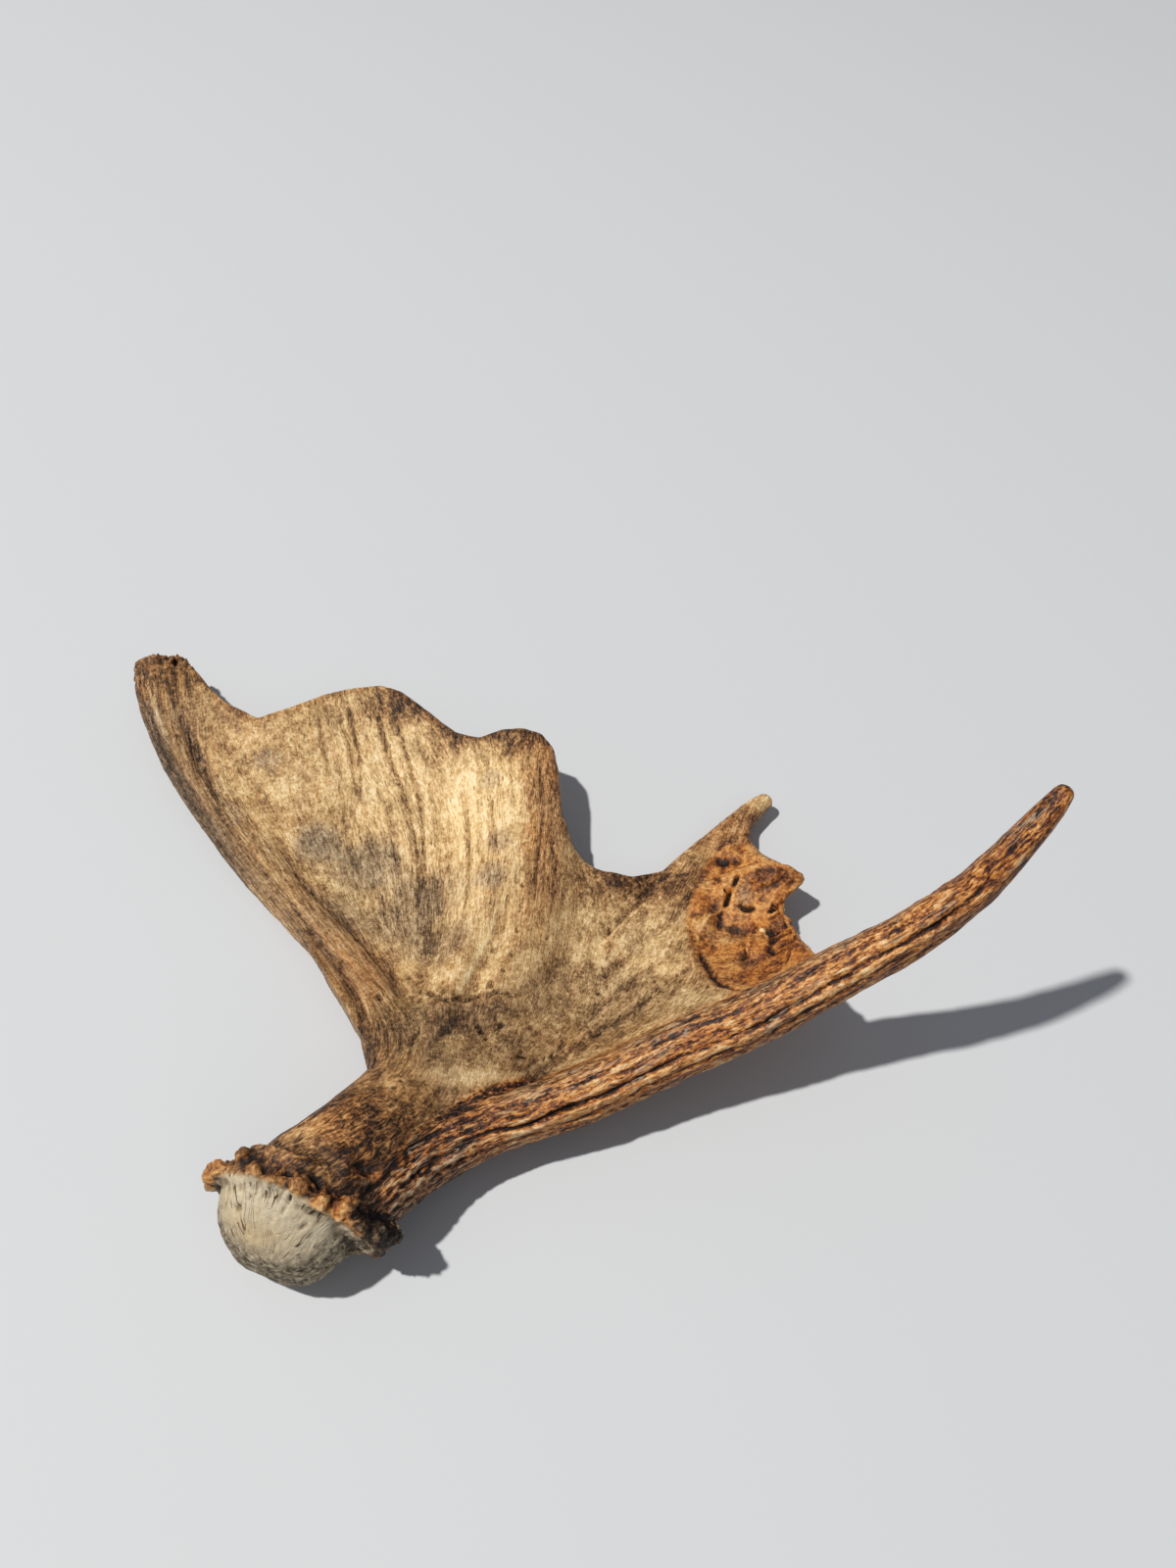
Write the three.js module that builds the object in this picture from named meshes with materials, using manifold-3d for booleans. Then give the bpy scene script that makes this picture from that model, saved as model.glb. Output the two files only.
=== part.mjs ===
// A shed moose antler, lying hollow side up on the flat of a table.
// The beam leaves a knobbly coronet and forks at once into two palms: the broad main palm, and the brow
// palm, whose outer edge is a long tine that rises clear of the table.
// Millimetres, +Z up. The part is built about the middle of the dish and set down on its box's bottom centre.
import * as THREE from "three";
import { mergeVertices } from "three/addons/utils/BufferGeometryUtils.js";
import Module from "manifold-3d";

const wasm = await Module();
wasm.setup();

// ---- Driving dimensions ------------------------------------------------------------------------

const PALM_THICKNESS = 10;
const ROOT_THICKNESS = 25; // where the palms run into the beam
const ROOT_REACH = 0.45; // share of the way to the rim over which a palm thins down from its root
const SAG_POWER = 1.1; // a higher power keeps the hollow nearer the middle
const EDGE_ROUNDING = 6; // how far in from its rim a palm reaches full thickness
const CORONET_WIDTH = 74; // across the ring of pearls, between their middles
const CORONET_HEIGHT = 52;
const CORONET_UNDERSIDE = 0.72; // its lower half is this much flatter than its upper one
const CORONET_CENTRE = new THREE.Vector3(-78.5, -150.5, 30);
const SEAL_DIRECTION = new THREE.Vector3(-0.36, -0.93, 0).normalize();
const SEAL_DEPTH = 12; // how far the cast face's body runs back into the beam
const SEAL_BANDS = 5;
const SEAL_BLUNTNESS = 0.7; // a lower power makes its domes blunter
// The cast face bulges low and to the left, out of a flange that fills the coronet's ring. lean and droop are how
// far it leans to the left and sinks, for each millimetre that it stands out.
const SEAL_DOME = { width: 56, height: 54, bulge: 24, lean: 0.02, droop: 0.33, shift: [4.2, 0, -1] };
const SEAL_FLANGE = { width: 72, height: 45, bulge: 4, lean: 0, droop: 0, shift: [0, 0, 0.5] };
const COLLAR_RADIUS = 4.2; // of the ridge that the pearls sit on
const WORN = 1.4; // how much is worn off the lowest places, which the antler rests on
const CUT_GAP = 0.3; // left between two pieces of the antler where it is parted at a fork
const REACH = 900; // larger than the whole antler, for the blocks that part it

// The rim of the two palms, from the left tine round to the long tine: x, y, height of the middle of the
// plate, and how far the plate hangs below a straight line from here to the beam.
const PALM_RIM = [
  [-210, 150, 25, 11], // left tine, outer corner of its broken end
  [-203, 156, 26, 12],
  [-193, 158, 26, 13], // inner corner
  [-182, 146, 25, 14],
  [-163, 125, 23, 15],
  [-144, 114, 22, 16], // hollow beside the left tine
  [-127, 122, 22, 17],
  [-112, 131, 22, 18],
  [-98, 135, 23, 18],
  [-80, 136, 25, 18], // middle lobe
  [-68, 130, 26, 17],
  [-53, 116, 26, 16],
  [-36, 99, 27, 15],
  [-24, 94, 29, 12], // hollow beside the right-hand point
  [-12, 96, 33, 10],
  [-1, 95, 35, 7],
  [9, 90, 36, 6], // right-hand point, the highest of the main palm
  [15, 80, 36, 6],
  [18, 66, 34, 6],
  [20, 42, 29, 7],
  [25, 31, 26, 9],
  [31, 23, 22, 10],
  [41, 17, 18, 10.8], // deep bay between the palms
  [54, 16, 15, 12],
  [70, 22, 12, 12],
  [86, 36, 10, 10],
  [102, 56, 10, 8],
  [115, 67, 10, 7],
  [123, 70, 10, 8], // short tine of the brow palm
  [125, 68, 10, 8],
  [115, 52, 11, 9],
  [113, 40, 12, 11],
  [118, 29, 15, 11],
  [125, 22, 18, 13],
  [134, 12.5, 22, 12], // snag
  [133, 6, 22, 12],
  [125, 0, 21, 12],
  [123, -10, 24, 12], // notch beside the long tine
  [125, -19, 28, 11],
  [127, -31, 35, 9],
  [130, -44, 44, 8],
  [134, -58, 55, 6],
];

// Where the palms start inside the beam, from the left side to the long tine's: x, y, height.
const PALM_ROOT = [
  [-50, -98, 26],
  [-42, -108, 25],
  [-38, -126, 22],
];

// The pearls of the coronet: turn about its middle in degrees, from its left end over the top, then radius, and
// how far towards the seal.
const PEARLS = [
  [-1, 4.9, 2],
  [14, 4.6, 1.5],
  [32, 3.8, 1],
  [52, 3.9, -5], // the tallest
  [68, 3.8, 0],
  [82, 3.6, 1],
  [97, 4.4, -1],
  [113, 3.8, 1],
  [128, 4.4, -2],
  [143, 4, 1],
  [158, 4.4, -1],
  [173, 4.4, -3],
  [187, 4.8, -5], // the knob at the right-hand end
  [212, 4, 0],
  [240, 4.8, 1],
  [264, 4.4, -1],
  [288, 4.8, 1],
  [312, 4.4, -2],
  [336, 4.6, 1],
];

// How far out from the beam the plate is given a row of points, as a share of the way to its rim.
const PLATE_ROWS = [0, 0.14, 0.28, 0.42, 0.56, 0.7, 0.84];
const RIM_ROWS = [5, 2.4, 0.7, 0]; // and how far in from the rim, close to it
const RIM_STEP = 15; // spacing of the points along the rim

// Limbs: x, y, height, half width, half thickness.
const BEAM = [
  [-78.5, -150.5, 30, 32, 23.5],
  [-76, -144, 30, 26.5, 23],
  [-69, -137, 30.5, 24, 22.5],
  [-60.5, -127, 29, 22.5, 21],
  [-50, -115, 26.5, 23, 17.5],
  [-38, -101, 23.5, 25.5, 14.5],
  [-25, -92, 21.5, 27, 12.5],
  [-12, -78, 18.5, 28, 10.5],
  [0, -60, 14, 25, 8],
  [11, -42, 8, 19, 5],
];
const LEFT_RIM = [
  [-36, -118, 20, 12, 11],
  [-50, -86, 22, 12, 11.5],
  [-64.5, -50, 18, 10.5, 10],
  [-94.5, -14, 14, 10, 8.8],
  [-127.5, 21, 12.5, 10, 8.2],
  [-155.5, 55, 14, 10, 8.2],
  [-180.5, 90, 17.5, 10.5, 8.2],
  [-197.5, 124, 21.5, 11.5, 8],
  [-203.5, 143, 24.5, 12.5, 8],
  [-204.5, 153, 26, 11.5, 7.5],
];
const POINT_RIB = [
  [-30, -92, 22, 16, 10],
  [-12, -62, 19, 18, 9],
  [1, -22, 19.5, 18, 8.5],
  [5, 22, 25, 16, 8],
  [4, 58, 31, 12.5, 7],
  [1, 83, 34.5, 9, 5.8],
];
const LONG_TINE = [
  [-58, -154, 30, 11.5, 12],
  [-48.5, -143, 27.5, 12, 12.5],
  [-38.5, -132, 24, 12, 12.5],
  [-28, -123.5, 22.3, 12, 12.5],
  [-11, -114.5, 22.3, 11.6, 12],
  [11, -107.5, 24, 11.5, 12],
  [32, -101, 27.5, 11.8, 12],
  [68, -86.5, 35, 12, 11.8],
  [94, -78.5, 42.5, 11.8, 11.6],
  [119, -70, 53.5, 11.4, 11.4],
  [143, -63, 68.5, 10.6, 10.6],
  [165, -58, 85.5, 9.4, 9.4],
  [186, -50, 106.5, 7.8, 7.6],
  [204, -39, 130, 5.8, 5.4],
  [211, -33.6, 139.5, 4, 3.6],
];
const SHORT_TINE = [
  [44, -28, 6.5, 15, 4],
  [68, 4, 8.2, 14, 6.3],
  [90, 31, 8.5, 11, 6.5],
  [105, 49, 9.5, 7.5, 6],
  [116, 61.5, 10, 5.8, 5.2],
  [123, 67.5, 10, 4.8, 4.5],
];
const SNAG = [
  [98, 9, 13, 9, 8],
  [112, 12, 18, 8, 8],
  [124, 12, 22, 6, 6.5],
  [131.5, 9.5, 23.5, 3.8, 4.2],
];

const SCAR_RIDGE = [
  [103, 32, 11, 5, 4],
  [93, 16, 11.5, 6, 4.5],
  [85.5, 2, 11.5, 5.5, 4.5],
  [82, -14, 12, 4.5, 3],
];

// The scarred plate between the short tine and the long one has a sunken floor: a lens cut into it, with the
// lens's centre, its half sizes and its slopes about x and y.
const SCAR_BASIN = { centre: [100, -31, 31.5], half: [24.5, 33, 9], slopes: [-0.5, -0.3] };
const SCAR_LUMPS = [
  // swollen lumps: x, y, height, radius
  [108, 1, 18, 4.5],
  [115, -13.5, 19, 5.5],
  [111, -31, 25, 7],
];
const SCAR_CLEFTS = [
  // x, y, height, half length along y, half width
  [98, 5, 17.5, 9, 1.7],
];
const CLEFT_DEPTH = 5;
const LUMP_STRETCH = [1.2, 1.5, 0.5];

// The forks, each parted by an upright cut through a point, x, y, across a direction, x, y.
const BEAM_FORK = { through: [-41, -110], across: [0.6, 0.8] };
const PALM_FORK = { through: [41, 17], across: [0.866, -0.5] };
const TINE_FORK = { through: [138, -62], across: [0.87, -0.49] };

// ---- Solids ------------------------------------------------------------------------------------

// A closed geometry as a solid that can be joined and cut.
function solid(geometry) {
  const bare = new THREE.BufferGeometry();
  bare.setAttribute("position", geometry.getAttribute("position"));
  bare.setIndex(geometry.getIndex());
  const merged = mergeVertices(bare, 1e-3);
  return new wasm.Manifold(
    new wasm.Mesh({
      numProp: 3,
      vertProperties: merged.getAttribute("position").array,
      triVerts: new Uint32Array(merged.getIndex().array),
    }),
  );
}

// And back again, for the finished pieces.
function geometryOf(manifold) {
  const { vertProperties, triVerts } = manifold.getMesh();
  const geometry = new THREE.BufferGeometry();
  geometry.setAttribute("position", new THREE.BufferAttribute(vertProperties, 3));
  geometry.setIndex(new THREE.BufferAttribute(triVerts, 1));
  geometry.computeVertexNormals();
  return geometry;
}

function geometryFrom(points, index) {
  const geometry = new THREE.BufferGeometry().setFromPoints(points);
  geometry.setIndex(index);
  return geometry;
}

const join = (solids) => solids.reduce((whole, next) => whole.add(next));

// A smooth curve through a list of x, y, z.
function smoothCurve(points) {
  const vectors = points.map((point) => new THREE.Vector3(...point));
  return new THREE.CatmullRomCurve3(vectors, false, "catmullrom");
}

// ---- Limbs -------------------------------------------------------------------------------------

// A limb swept through its stations, with a rounded end unless it was snapped off square.
// ridges and depth give it lengthwise ridges; a ridge dies out with the limb's own thickness.
function limb(stations, { rings, sides, ridges = 0, depth = 0, snapped = false }) {
  const path = smoothCurve(stations.map(([x, y, z]) => [x, y, z]));
  const girth = smoothCurve(stations.map(([, , , width, thickness]) => [width, thickness, 0]));
  const up = new THREE.Vector3(0, 0, 1);
  const points = [];
  const addRing = (t, forward, swell) => {
    const along = path.getTangent(t);
    const side = new THREE.Vector3().crossVectors(up, along).normalize();
    const top = new THREE.Vector3().crossVectors(along, side);
    const { x: width, y: thickness } = girth.getPoint(t);
    const centre = path.getPoint(t).addScaledVector(along, forward * thickness);
    for (let i = 0; i < sides; i++) {
      const turn = (2 * Math.PI * i) / sides;
      const ridge = 1 + depth * Math.cos(ridges * turn);
      points.push(
        centre
          .clone()
          .addScaledVector(side, width * swell * ridge * Math.cos(turn))
          .addScaledVector(top, thickness * swell * ridge * Math.sin(turn)),
      );
    }
  };
  for (let i = 0; i <= rings; i++) addRing(i / rings, 0, 1);
  if (!snapped) addRing(1, 0.55, 0.8);
  const last = path.getPoint(1).addScaledVector(path.getTangent(1), snapped ? 0 : girth.getPoint(1).y * 0.9);
  return geometryFrom([...points, path.getPoint(0), last], tubeFaces(points.length / sides, sides));
}

// The faces of a tube of rings whose two end points come after the rings' own points.
function tubeFaces(rings, sides) {
  const [first, last] = [rings * sides, rings * sides + 1];
  const faces = [];
  for (let i = 0; i < sides; i++) {
    const next = (i + 1) % sides;
    faces.push(first, next, i);
    faces.push(last, (rings - 1) * sides + i, (rings - 1) * sides + next);
    for (let ring = 0; ring + 1 < rings; ring++) {
      const [a, b] = [ring * sides + i, ring * sides + next];
      faces.push(a, b, a + sides);
      faces.push(b, b + sides, a + sides);
    }
  }
  return faces;
}

// ---- The plate of the two palms ----------------------------------------------------------------

// The rim as evenly spaced points, each with the plate's sag there.
function rimPoints() {
  const place = smoothCurve(PALM_RIM.map(([x, y, z]) => [x, y, z]));
  const sags = smoothCurve(PALM_RIM.map(([, , , sag]) => [sag, 0, 0]));
  const spans = PALM_RIM.length - 1;
  const rim = [];
  for (let span = 0; span < spans; span++) {
    const length = place.getPoint(span / spans).distanceTo(place.getPoint((span + 1) / spans));
    const steps = Math.max(1, Math.round(length / RIM_STEP));
    for (let step = 0; step < steps; step++) rim.push((span + step / steps) / spans);
  }
  return [...rim, 1].map((t) => ({ place: place.getPoint(t), sag: sags.getPoint(t).x }));
}

// How far (x, y) lies from the rim, seen from above.
function distanceToRim(point, rim) {
  const flat = new THREE.Vector3(point.x, point.y, 0);
  const line = new THREE.Line3();
  const nearest = new THREE.Vector3();
  let least = Infinity;
  for (let i = 0; i + 1 < rim.length; i++) {
    line.start.set(rim[i].place.x, rim[i].place.y, 0);
    line.end.set(rim[i + 1].place.x, rim[i + 1].place.y, 0);
    line.closestPointToPoint(flat, true, nearest);
    least = Math.min(least, nearest.distanceTo(flat));
  }
  return least;
}

// A thick curved plate, fanned out from the beam to the rim, with a rounded edge.
function plate() {
  const rim = rimPoints();
  const rootCurve = smoothCurve(PALM_ROOT);
  const upper = [];
  const lower = [];
  rim.forEach(({ place, sag }, column) => {
    const root = rootCurve.getPoint(column / (rim.length - 1));
    const length = root.distanceTo(place);
    const shares = [...PLATE_ROWS, ...RIM_ROWS.map((inset) => 1 - inset / length)];
    for (const share of shares) {
      const middle = root.clone().lerp(place, share);
      middle.z -= sag * Math.sin(Math.PI * share) ** SAG_POWER;
      const depth = Math.min(1, distanceToRim(middle, rim) / EDGE_ROUNDING);
      const roundness = Math.sqrt(1 - (1 - depth) ** 2);
      const thicker = (ROOT_THICKNESS - PALM_THICKNESS) * Math.max(0, 1 - share / ROOT_REACH) ** 2;
      const half = (roundness * (PALM_THICKNESS + thicker)) / 2;
      upper.push(middle.clone().setZ(middle.z + half));
      lower.push(middle.clone().setZ(middle.z - half));
    }
  });
  return geometryFrom([...upper, ...lower], plateFaces(rim.length, PLATE_ROWS.length + RIM_ROWS.length));
}

// The plate's two skins, and the walls that close it along its first and last columns and its root.
function plateFaces(columns, rows) {
  const under = columns * rows;
  const faces = [];
  const quad = (a, b, c, d) => faces.push(a, b, c, a, c, d);
  for (let column = 0; column + 1 < columns; column++) {
    const [here, next] = [column * rows, (column + 1) * rows];
    for (let row = 0; row + 1 < rows; row++) {
      quad(here + row, next + row, next + row + 1, here + row + 1);
      quad(under + here + row, under + here + row + 1, under + next + row + 1, under + next + row);
    }
    quad(here, under + here, under + next, next);
  }
  const lastColumn = (columns - 1) * rows;
  for (let row = 0; row + 1 < rows; row++) {
    quad(row, row + 1, under + row + 1, under + row);
    quad(lastColumn + row, under + lastColumn + row, under + lastColumn + row + 1, lastColumn + row + 1);
  }
  return faces;
}

// ---- Coronet and seal --------------------------------------------------------------------------

// A blunt dome out of the coronet.
function dome({ width, height, bulge, lean, droop, shift }) {
  const profile = [new THREE.Vector2(0, -SEAL_DEPTH), new THREE.Vector2(0.85, -SEAL_DEPTH)];
  for (let i = 0; i < SEAL_BANDS; i++) {
    const turn = (Math.PI / 2) * (i / SEAL_BANDS);
    profile.push(new THREE.Vector2(Math.cos(turn) ** SEAL_BLUNTNESS, bulge * Math.sin(turn)));
  }
  profile.push(new THREE.Vector2(0, bulge));
  const shape = new THREE.LatheGeometry(profile, 20);
  shape.scale(width / 2, 1, height / 2);
  shape.applyMatrix4(new THREE.Matrix4().makeShear(0, 0, lean, -droop, 0, 0));
  return solid(onSealAxis(shape.translate(...shift)));
}

// Turns a geometry whose axis is +Y onto the seal's axis, its x level, and moves it to the coronet.
function onSealAxis(geometry) {
  const turn = Math.atan2(-SEAL_DIRECTION.x, SEAL_DIRECTION.y);
  return geometry.rotateZ(turn).translate(...CORONET_CENTRE);
}

// Flattens whatever of a geometry lies below its own level.
function flatterBelow(geometry, share) {
  const places = geometry.getAttribute("position");
  for (let i = 0; i < places.count; i++) {
    const height = places.getZ(i);
    places.setZ(i, height < 0 ? height * share : height);
  }
  return geometry;
}

// The coronet: a collar with a row of bony pearls on it.
function coronet() {
  const [across, tall] = [CORONET_WIDTH / 2, CORONET_HEIGHT / 2];
  const collar = new THREE.TorusGeometry(1, COLLAR_RADIUS / across, 6, 22).rotateX(Math.PI / 2);
  collar.scale(across - 2, across, tall - 2);
  const pearls = PEARLS.map(([degrees, radius, forward]) => {
    const turn = THREE.MathUtils.degToRad(degrees);
    const pearl = new THREE.IcosahedronGeometry(radius, 1);
    return pearl.translate(across * Math.cos(turn), forward, tall * Math.sin(turn));
  });
  return join([collar, ...pearls].map((shape) => solid(onSealAxis(flatterBelow(shape, CORONET_UNDERSIDE)))));
}

// ---- The scarred plate -------------------------------------------------------------------------

function scarred(palms) {
  const lumps = SCAR_LUMPS.map(([x, y, z, radius]) =>
    solid(new THREE.IcosahedronGeometry(radius, 1).scale(...LUMP_STRETCH).translate(x, y, z)),
  );
  const clefts = SCAR_CLEFTS.map(([x, y, z, length, width]) =>
    solid(new THREE.IcosahedronGeometry(1, 1).scale(width, length, CLEFT_DEPTH).translate(x, y, z)),
  );
  const basin = new THREE.IcosahedronGeometry(1, 2).scale(...SCAR_BASIN.half);
  basin.rotateX(SCAR_BASIN.slopes[0]).rotateY(SCAR_BASIN.slopes[1]).translate(...SCAR_BASIN.centre);
  return join([palms.subtract(solid(basin)), ...lumps]).subtract(join(clefts));
}

// ---- Parting and setting down ------------------------------------------------------------------

// The half of a solid on one side of an upright cut: side +1 is ahead of it, -1 behind.
function half(whole, { through, across }, side) {
  const block = new THREE.BoxGeometry(REACH, REACH, REACH);
  block.translate((side * (REACH + CUT_GAP)) / 2, 0, 0);
  block.rotateZ(Math.atan2(across[1], across[0]));
  block.translate(through[0], through[1], 0);
  return whole.intersect(solid(block));
}

// What stands clear of the table; the lowest places are worn to a small flat.
function aboveTable(whole) {
  const block = new THREE.BoxGeometry(REACH, REACH, REACH).translate(0, 0, REACH / 2 + WORN);
  return whole.intersect(solid(block));
}

function antler() {
  const palms = scarred(
    join([
      solid(plate()),
      solid(limb(LEFT_RIM, { rings: 18, sides: 14, snapped: true })),
      solid(limb(POINT_RIB, { rings: 12, sides: 12 })),
      solid(limb(SHORT_TINE, { rings: 9, sides: 12 })),
      solid(limb(SNAG, { rings: 5, sides: 10 })),
      solid(limb(SCAR_RIDGE, { rings: 5, sides: 8 })),
    ]),
  );
  const beam = solid(limb(BEAM, { rings: 12, sides: 18 }));
  const longTine = solid(limb(LONG_TINE, { rings: 26, sides: 15, ridges: 5, depth: 0.05 }));
  return aboveTable(join([palms, beam, longTine, dome(SEAL_DOME), dome(SEAL_FLANGE), coronet()]));
}

// ---- Assembly ----------------------------------------------------------------------------------

const FINISHES = {
  burr_and_beam: { color: 0x8a6a42, roughness: 0.7, metalness: 0 },
  main_palm: { color: 0xc2a273, roughness: 0.62, metalness: 0 },
  brow_palm: { color: 0xa8845a, roughness: 0.62, metalness: 0 },
  long_tine: { color: 0x8f5a2c, roughness: 0.5, metalness: 0 },
};

const whole = antler();
const palms = half(whole, BEAM_FORK, 1);
const brow = half(palms, PALM_FORK, 1);
const pieces = {
  burr_and_beam: half(whole, BEAM_FORK, -1),
  main_palm: half(palms, PALM_FORK, -1),
  brow_palm: half(brow, TINE_FORK, -1),
  long_tine: half(brow, TINE_FORK, 1),
};

const model = new THREE.Group();
for (const [name, piece] of Object.entries(pieces)) {
  const mesh = new THREE.Mesh(geometryOf(piece), new THREE.MeshStandardMaterial(FINISHES[name]));
  mesh.name = name;
  model.add(mesh);
}

// The origin is the bottom centre of the whole antler's box.
const box = new THREE.Box3().setFromObject(model);
const centre = box.getCenter(new THREE.Vector3());
for (const mesh of model.children) mesh.position.set(-centre.x, -centre.y, -box.min.z);

export default model;
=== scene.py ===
"""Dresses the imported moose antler.

The four solids become one grown skin, carved with the relief of real antler (grooves, fibres, pearls, a cast
face, a healed break), which is then parted again at the forks. One procedural bone finish follows the growth.
All lengths are in millimetres in the antler's own drawing until a mesh is handed to Blender in metres.
"""

import logging
import math
from dataclasses import dataclass, field
from enum import Enum
from typing import Iterable, Sequence

import bmesh
import bpy
import numpy as np
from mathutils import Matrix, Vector
from mathutils.kdtree import KDTree


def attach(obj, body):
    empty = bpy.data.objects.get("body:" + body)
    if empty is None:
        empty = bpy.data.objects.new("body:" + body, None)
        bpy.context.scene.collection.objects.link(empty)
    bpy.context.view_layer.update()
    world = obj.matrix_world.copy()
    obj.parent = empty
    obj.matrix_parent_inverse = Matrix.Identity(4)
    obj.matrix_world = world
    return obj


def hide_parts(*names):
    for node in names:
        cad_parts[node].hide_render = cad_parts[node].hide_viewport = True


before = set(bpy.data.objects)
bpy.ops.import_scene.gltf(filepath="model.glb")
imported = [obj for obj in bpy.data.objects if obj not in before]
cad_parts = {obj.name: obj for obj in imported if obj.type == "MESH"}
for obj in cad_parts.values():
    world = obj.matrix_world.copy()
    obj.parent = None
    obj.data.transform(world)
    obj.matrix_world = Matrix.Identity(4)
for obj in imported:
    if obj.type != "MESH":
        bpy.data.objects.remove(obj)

LOG = logging.getLogger("moose_antler")

Array = np.ndarray
Point = tuple[float, float]
Point3 = tuple[float, float, float]

MM = 0.001
SET_DOWN: Point3 = (0.834, 8.274, -1.4)  # where the drawing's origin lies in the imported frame, in mm
PALM_COLUMN = 34.0  # mm that one column of the fan stands for on the palms
STEM_COLUMN = 5.6  # and on the beam, where the fan is narrow
FACE_RADIUS = 34.0  # of the cast face, in mm


class Part(Enum):
    """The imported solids, which are also the pieces of the dressed antler."""

    BEAM = "burr_and_beam"
    MAIN = "main_palm"
    BROW = "brow_palm"
    TINE = "long_tine"


class Slot(Enum):
    """The material slot names, one for each piece."""

    BEAM = "beam_bone"
    MAIN = "palm_bone"
    BROW = "brow_bone"
    TINE = "tine_bone"


class Layer(Enum):
    """What the skin's points tell the finish."""

    FAN = "fan_grain"  # column of the fan, mm along the growth, height in mm
    LIMB = "tine_grain"  # mm across, mm across, mm along the long tine
    FACE = "seal_grain"  # mm round, mm in from the rim of the cast face, mm out of it
    PAINT = "paint"  # tone, rust, grey
    ZONE = "zone"  # long tine, cast face, coronet
    CARE = "care"  # scar, palm against beam, snapped end
    HOLLOW = "hollow"  # hollows below zero and crests above it, the beam's wavy foot, mottling in place of fibres
    RIM = "left_rim"  # the left rim, three times over
    SHADE = "shade_normal"  # the whole skin's normal, kept across the forks


# ---------------------------------------------------------------- small sums


def ease(low: float, high: float, value: Array) -> Array:
    """Goes smoothly from 0 at low to 1 at high; low may be the larger."""
    t = np.clip((value - low) / (high - low), 0.0, 1.0)
    return t * t * (3.0 - 2.0 * t)


def swell(distance: Array, width: float | Array) -> Array:
    """A soft hill that is 1 at distance 0 and fades over the width."""
    return np.exp(-((distance / width) ** 2))


def unit(vectors: Array) -> Array:
    """The same directions, each one long."""
    return vectors / np.maximum(np.linalg.norm(vectors, axis=-1, keepdims=True), 1e-9)


def spline(points: Array, steps: int) -> Array:
    """Draws a smooth curve through points.

    Args:
        points: control points, one row each, of any width.
        steps: samples in each span.

    Returns:
        The samples, one row each, with the last control point at the end.
    """
    padded = np.vstack([2 * points[0] - points[1], points, 2 * points[-1] - points[-2]])
    t = (np.arange(steps) / steps)[:, None]
    spans = []
    for a, b, c, d in zip(padded, padded[1:], padded[2:], padded[3:]):
        spans.append(
            0.5 * (2 * b + (c - a) * t + (2 * a - 5 * b + 4 * c - d) * t**2 + (3 * b - a - 3 * c + d) * t**3)
        )
    return np.vstack([*spans, points[-1:]])


def line_distance(places: Array, line: Array) -> tuple[Array, Array]:
    """Finds how far places lie from a line of straight spans.

    Args:
        places: the places, one row each.
        line: the line's corners, one row each, as wide as places.

    Returns:
        The distances, and the share of the line's length where each place is nearest.
    """
    best = np.full(len(places), 1e9)
    share = np.zeros(len(places))
    lengths = np.linalg.norm(np.diff(line, axis=0), axis=1)
    starts = np.concatenate([[0.0], np.cumsum(lengths)])
    for k, (a, b) in enumerate(zip(line, line[1:])):
        run = b - a
        t = np.clip((places - a) @ run / max(run @ run, 1e-9), 0.0, 1.0)
        gap = np.linalg.norm(places - a - t[:, None] * run, axis=1)
        closer = gap < best
        best[closer] = gap[closer]
        share[closer] = (starts[k] + t[closer] * lengths[k]) / starts[-1]
    return best, share


def inside(places: Array, outline: Array) -> Array:
    """Tells which plan places lie in an outline.

    Args:
        places: plan places, one row each.
        outline: the outline's corners in order.

    Returns:
        True for each place inside.
    """
    within = np.zeros(len(places), bool)
    x, y = places[:, 0], places[:, 1]
    for (ax, ay), (bx, by) in zip(outline, np.roll(outline, -1, axis=0)):
        if ay == by:
            continue
        crosses = (ay > y) != (by > y)
        within ^= crosses & (x < (bx - ax) * (y - ay) / (by - ay) + ax)
    return within


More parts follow.
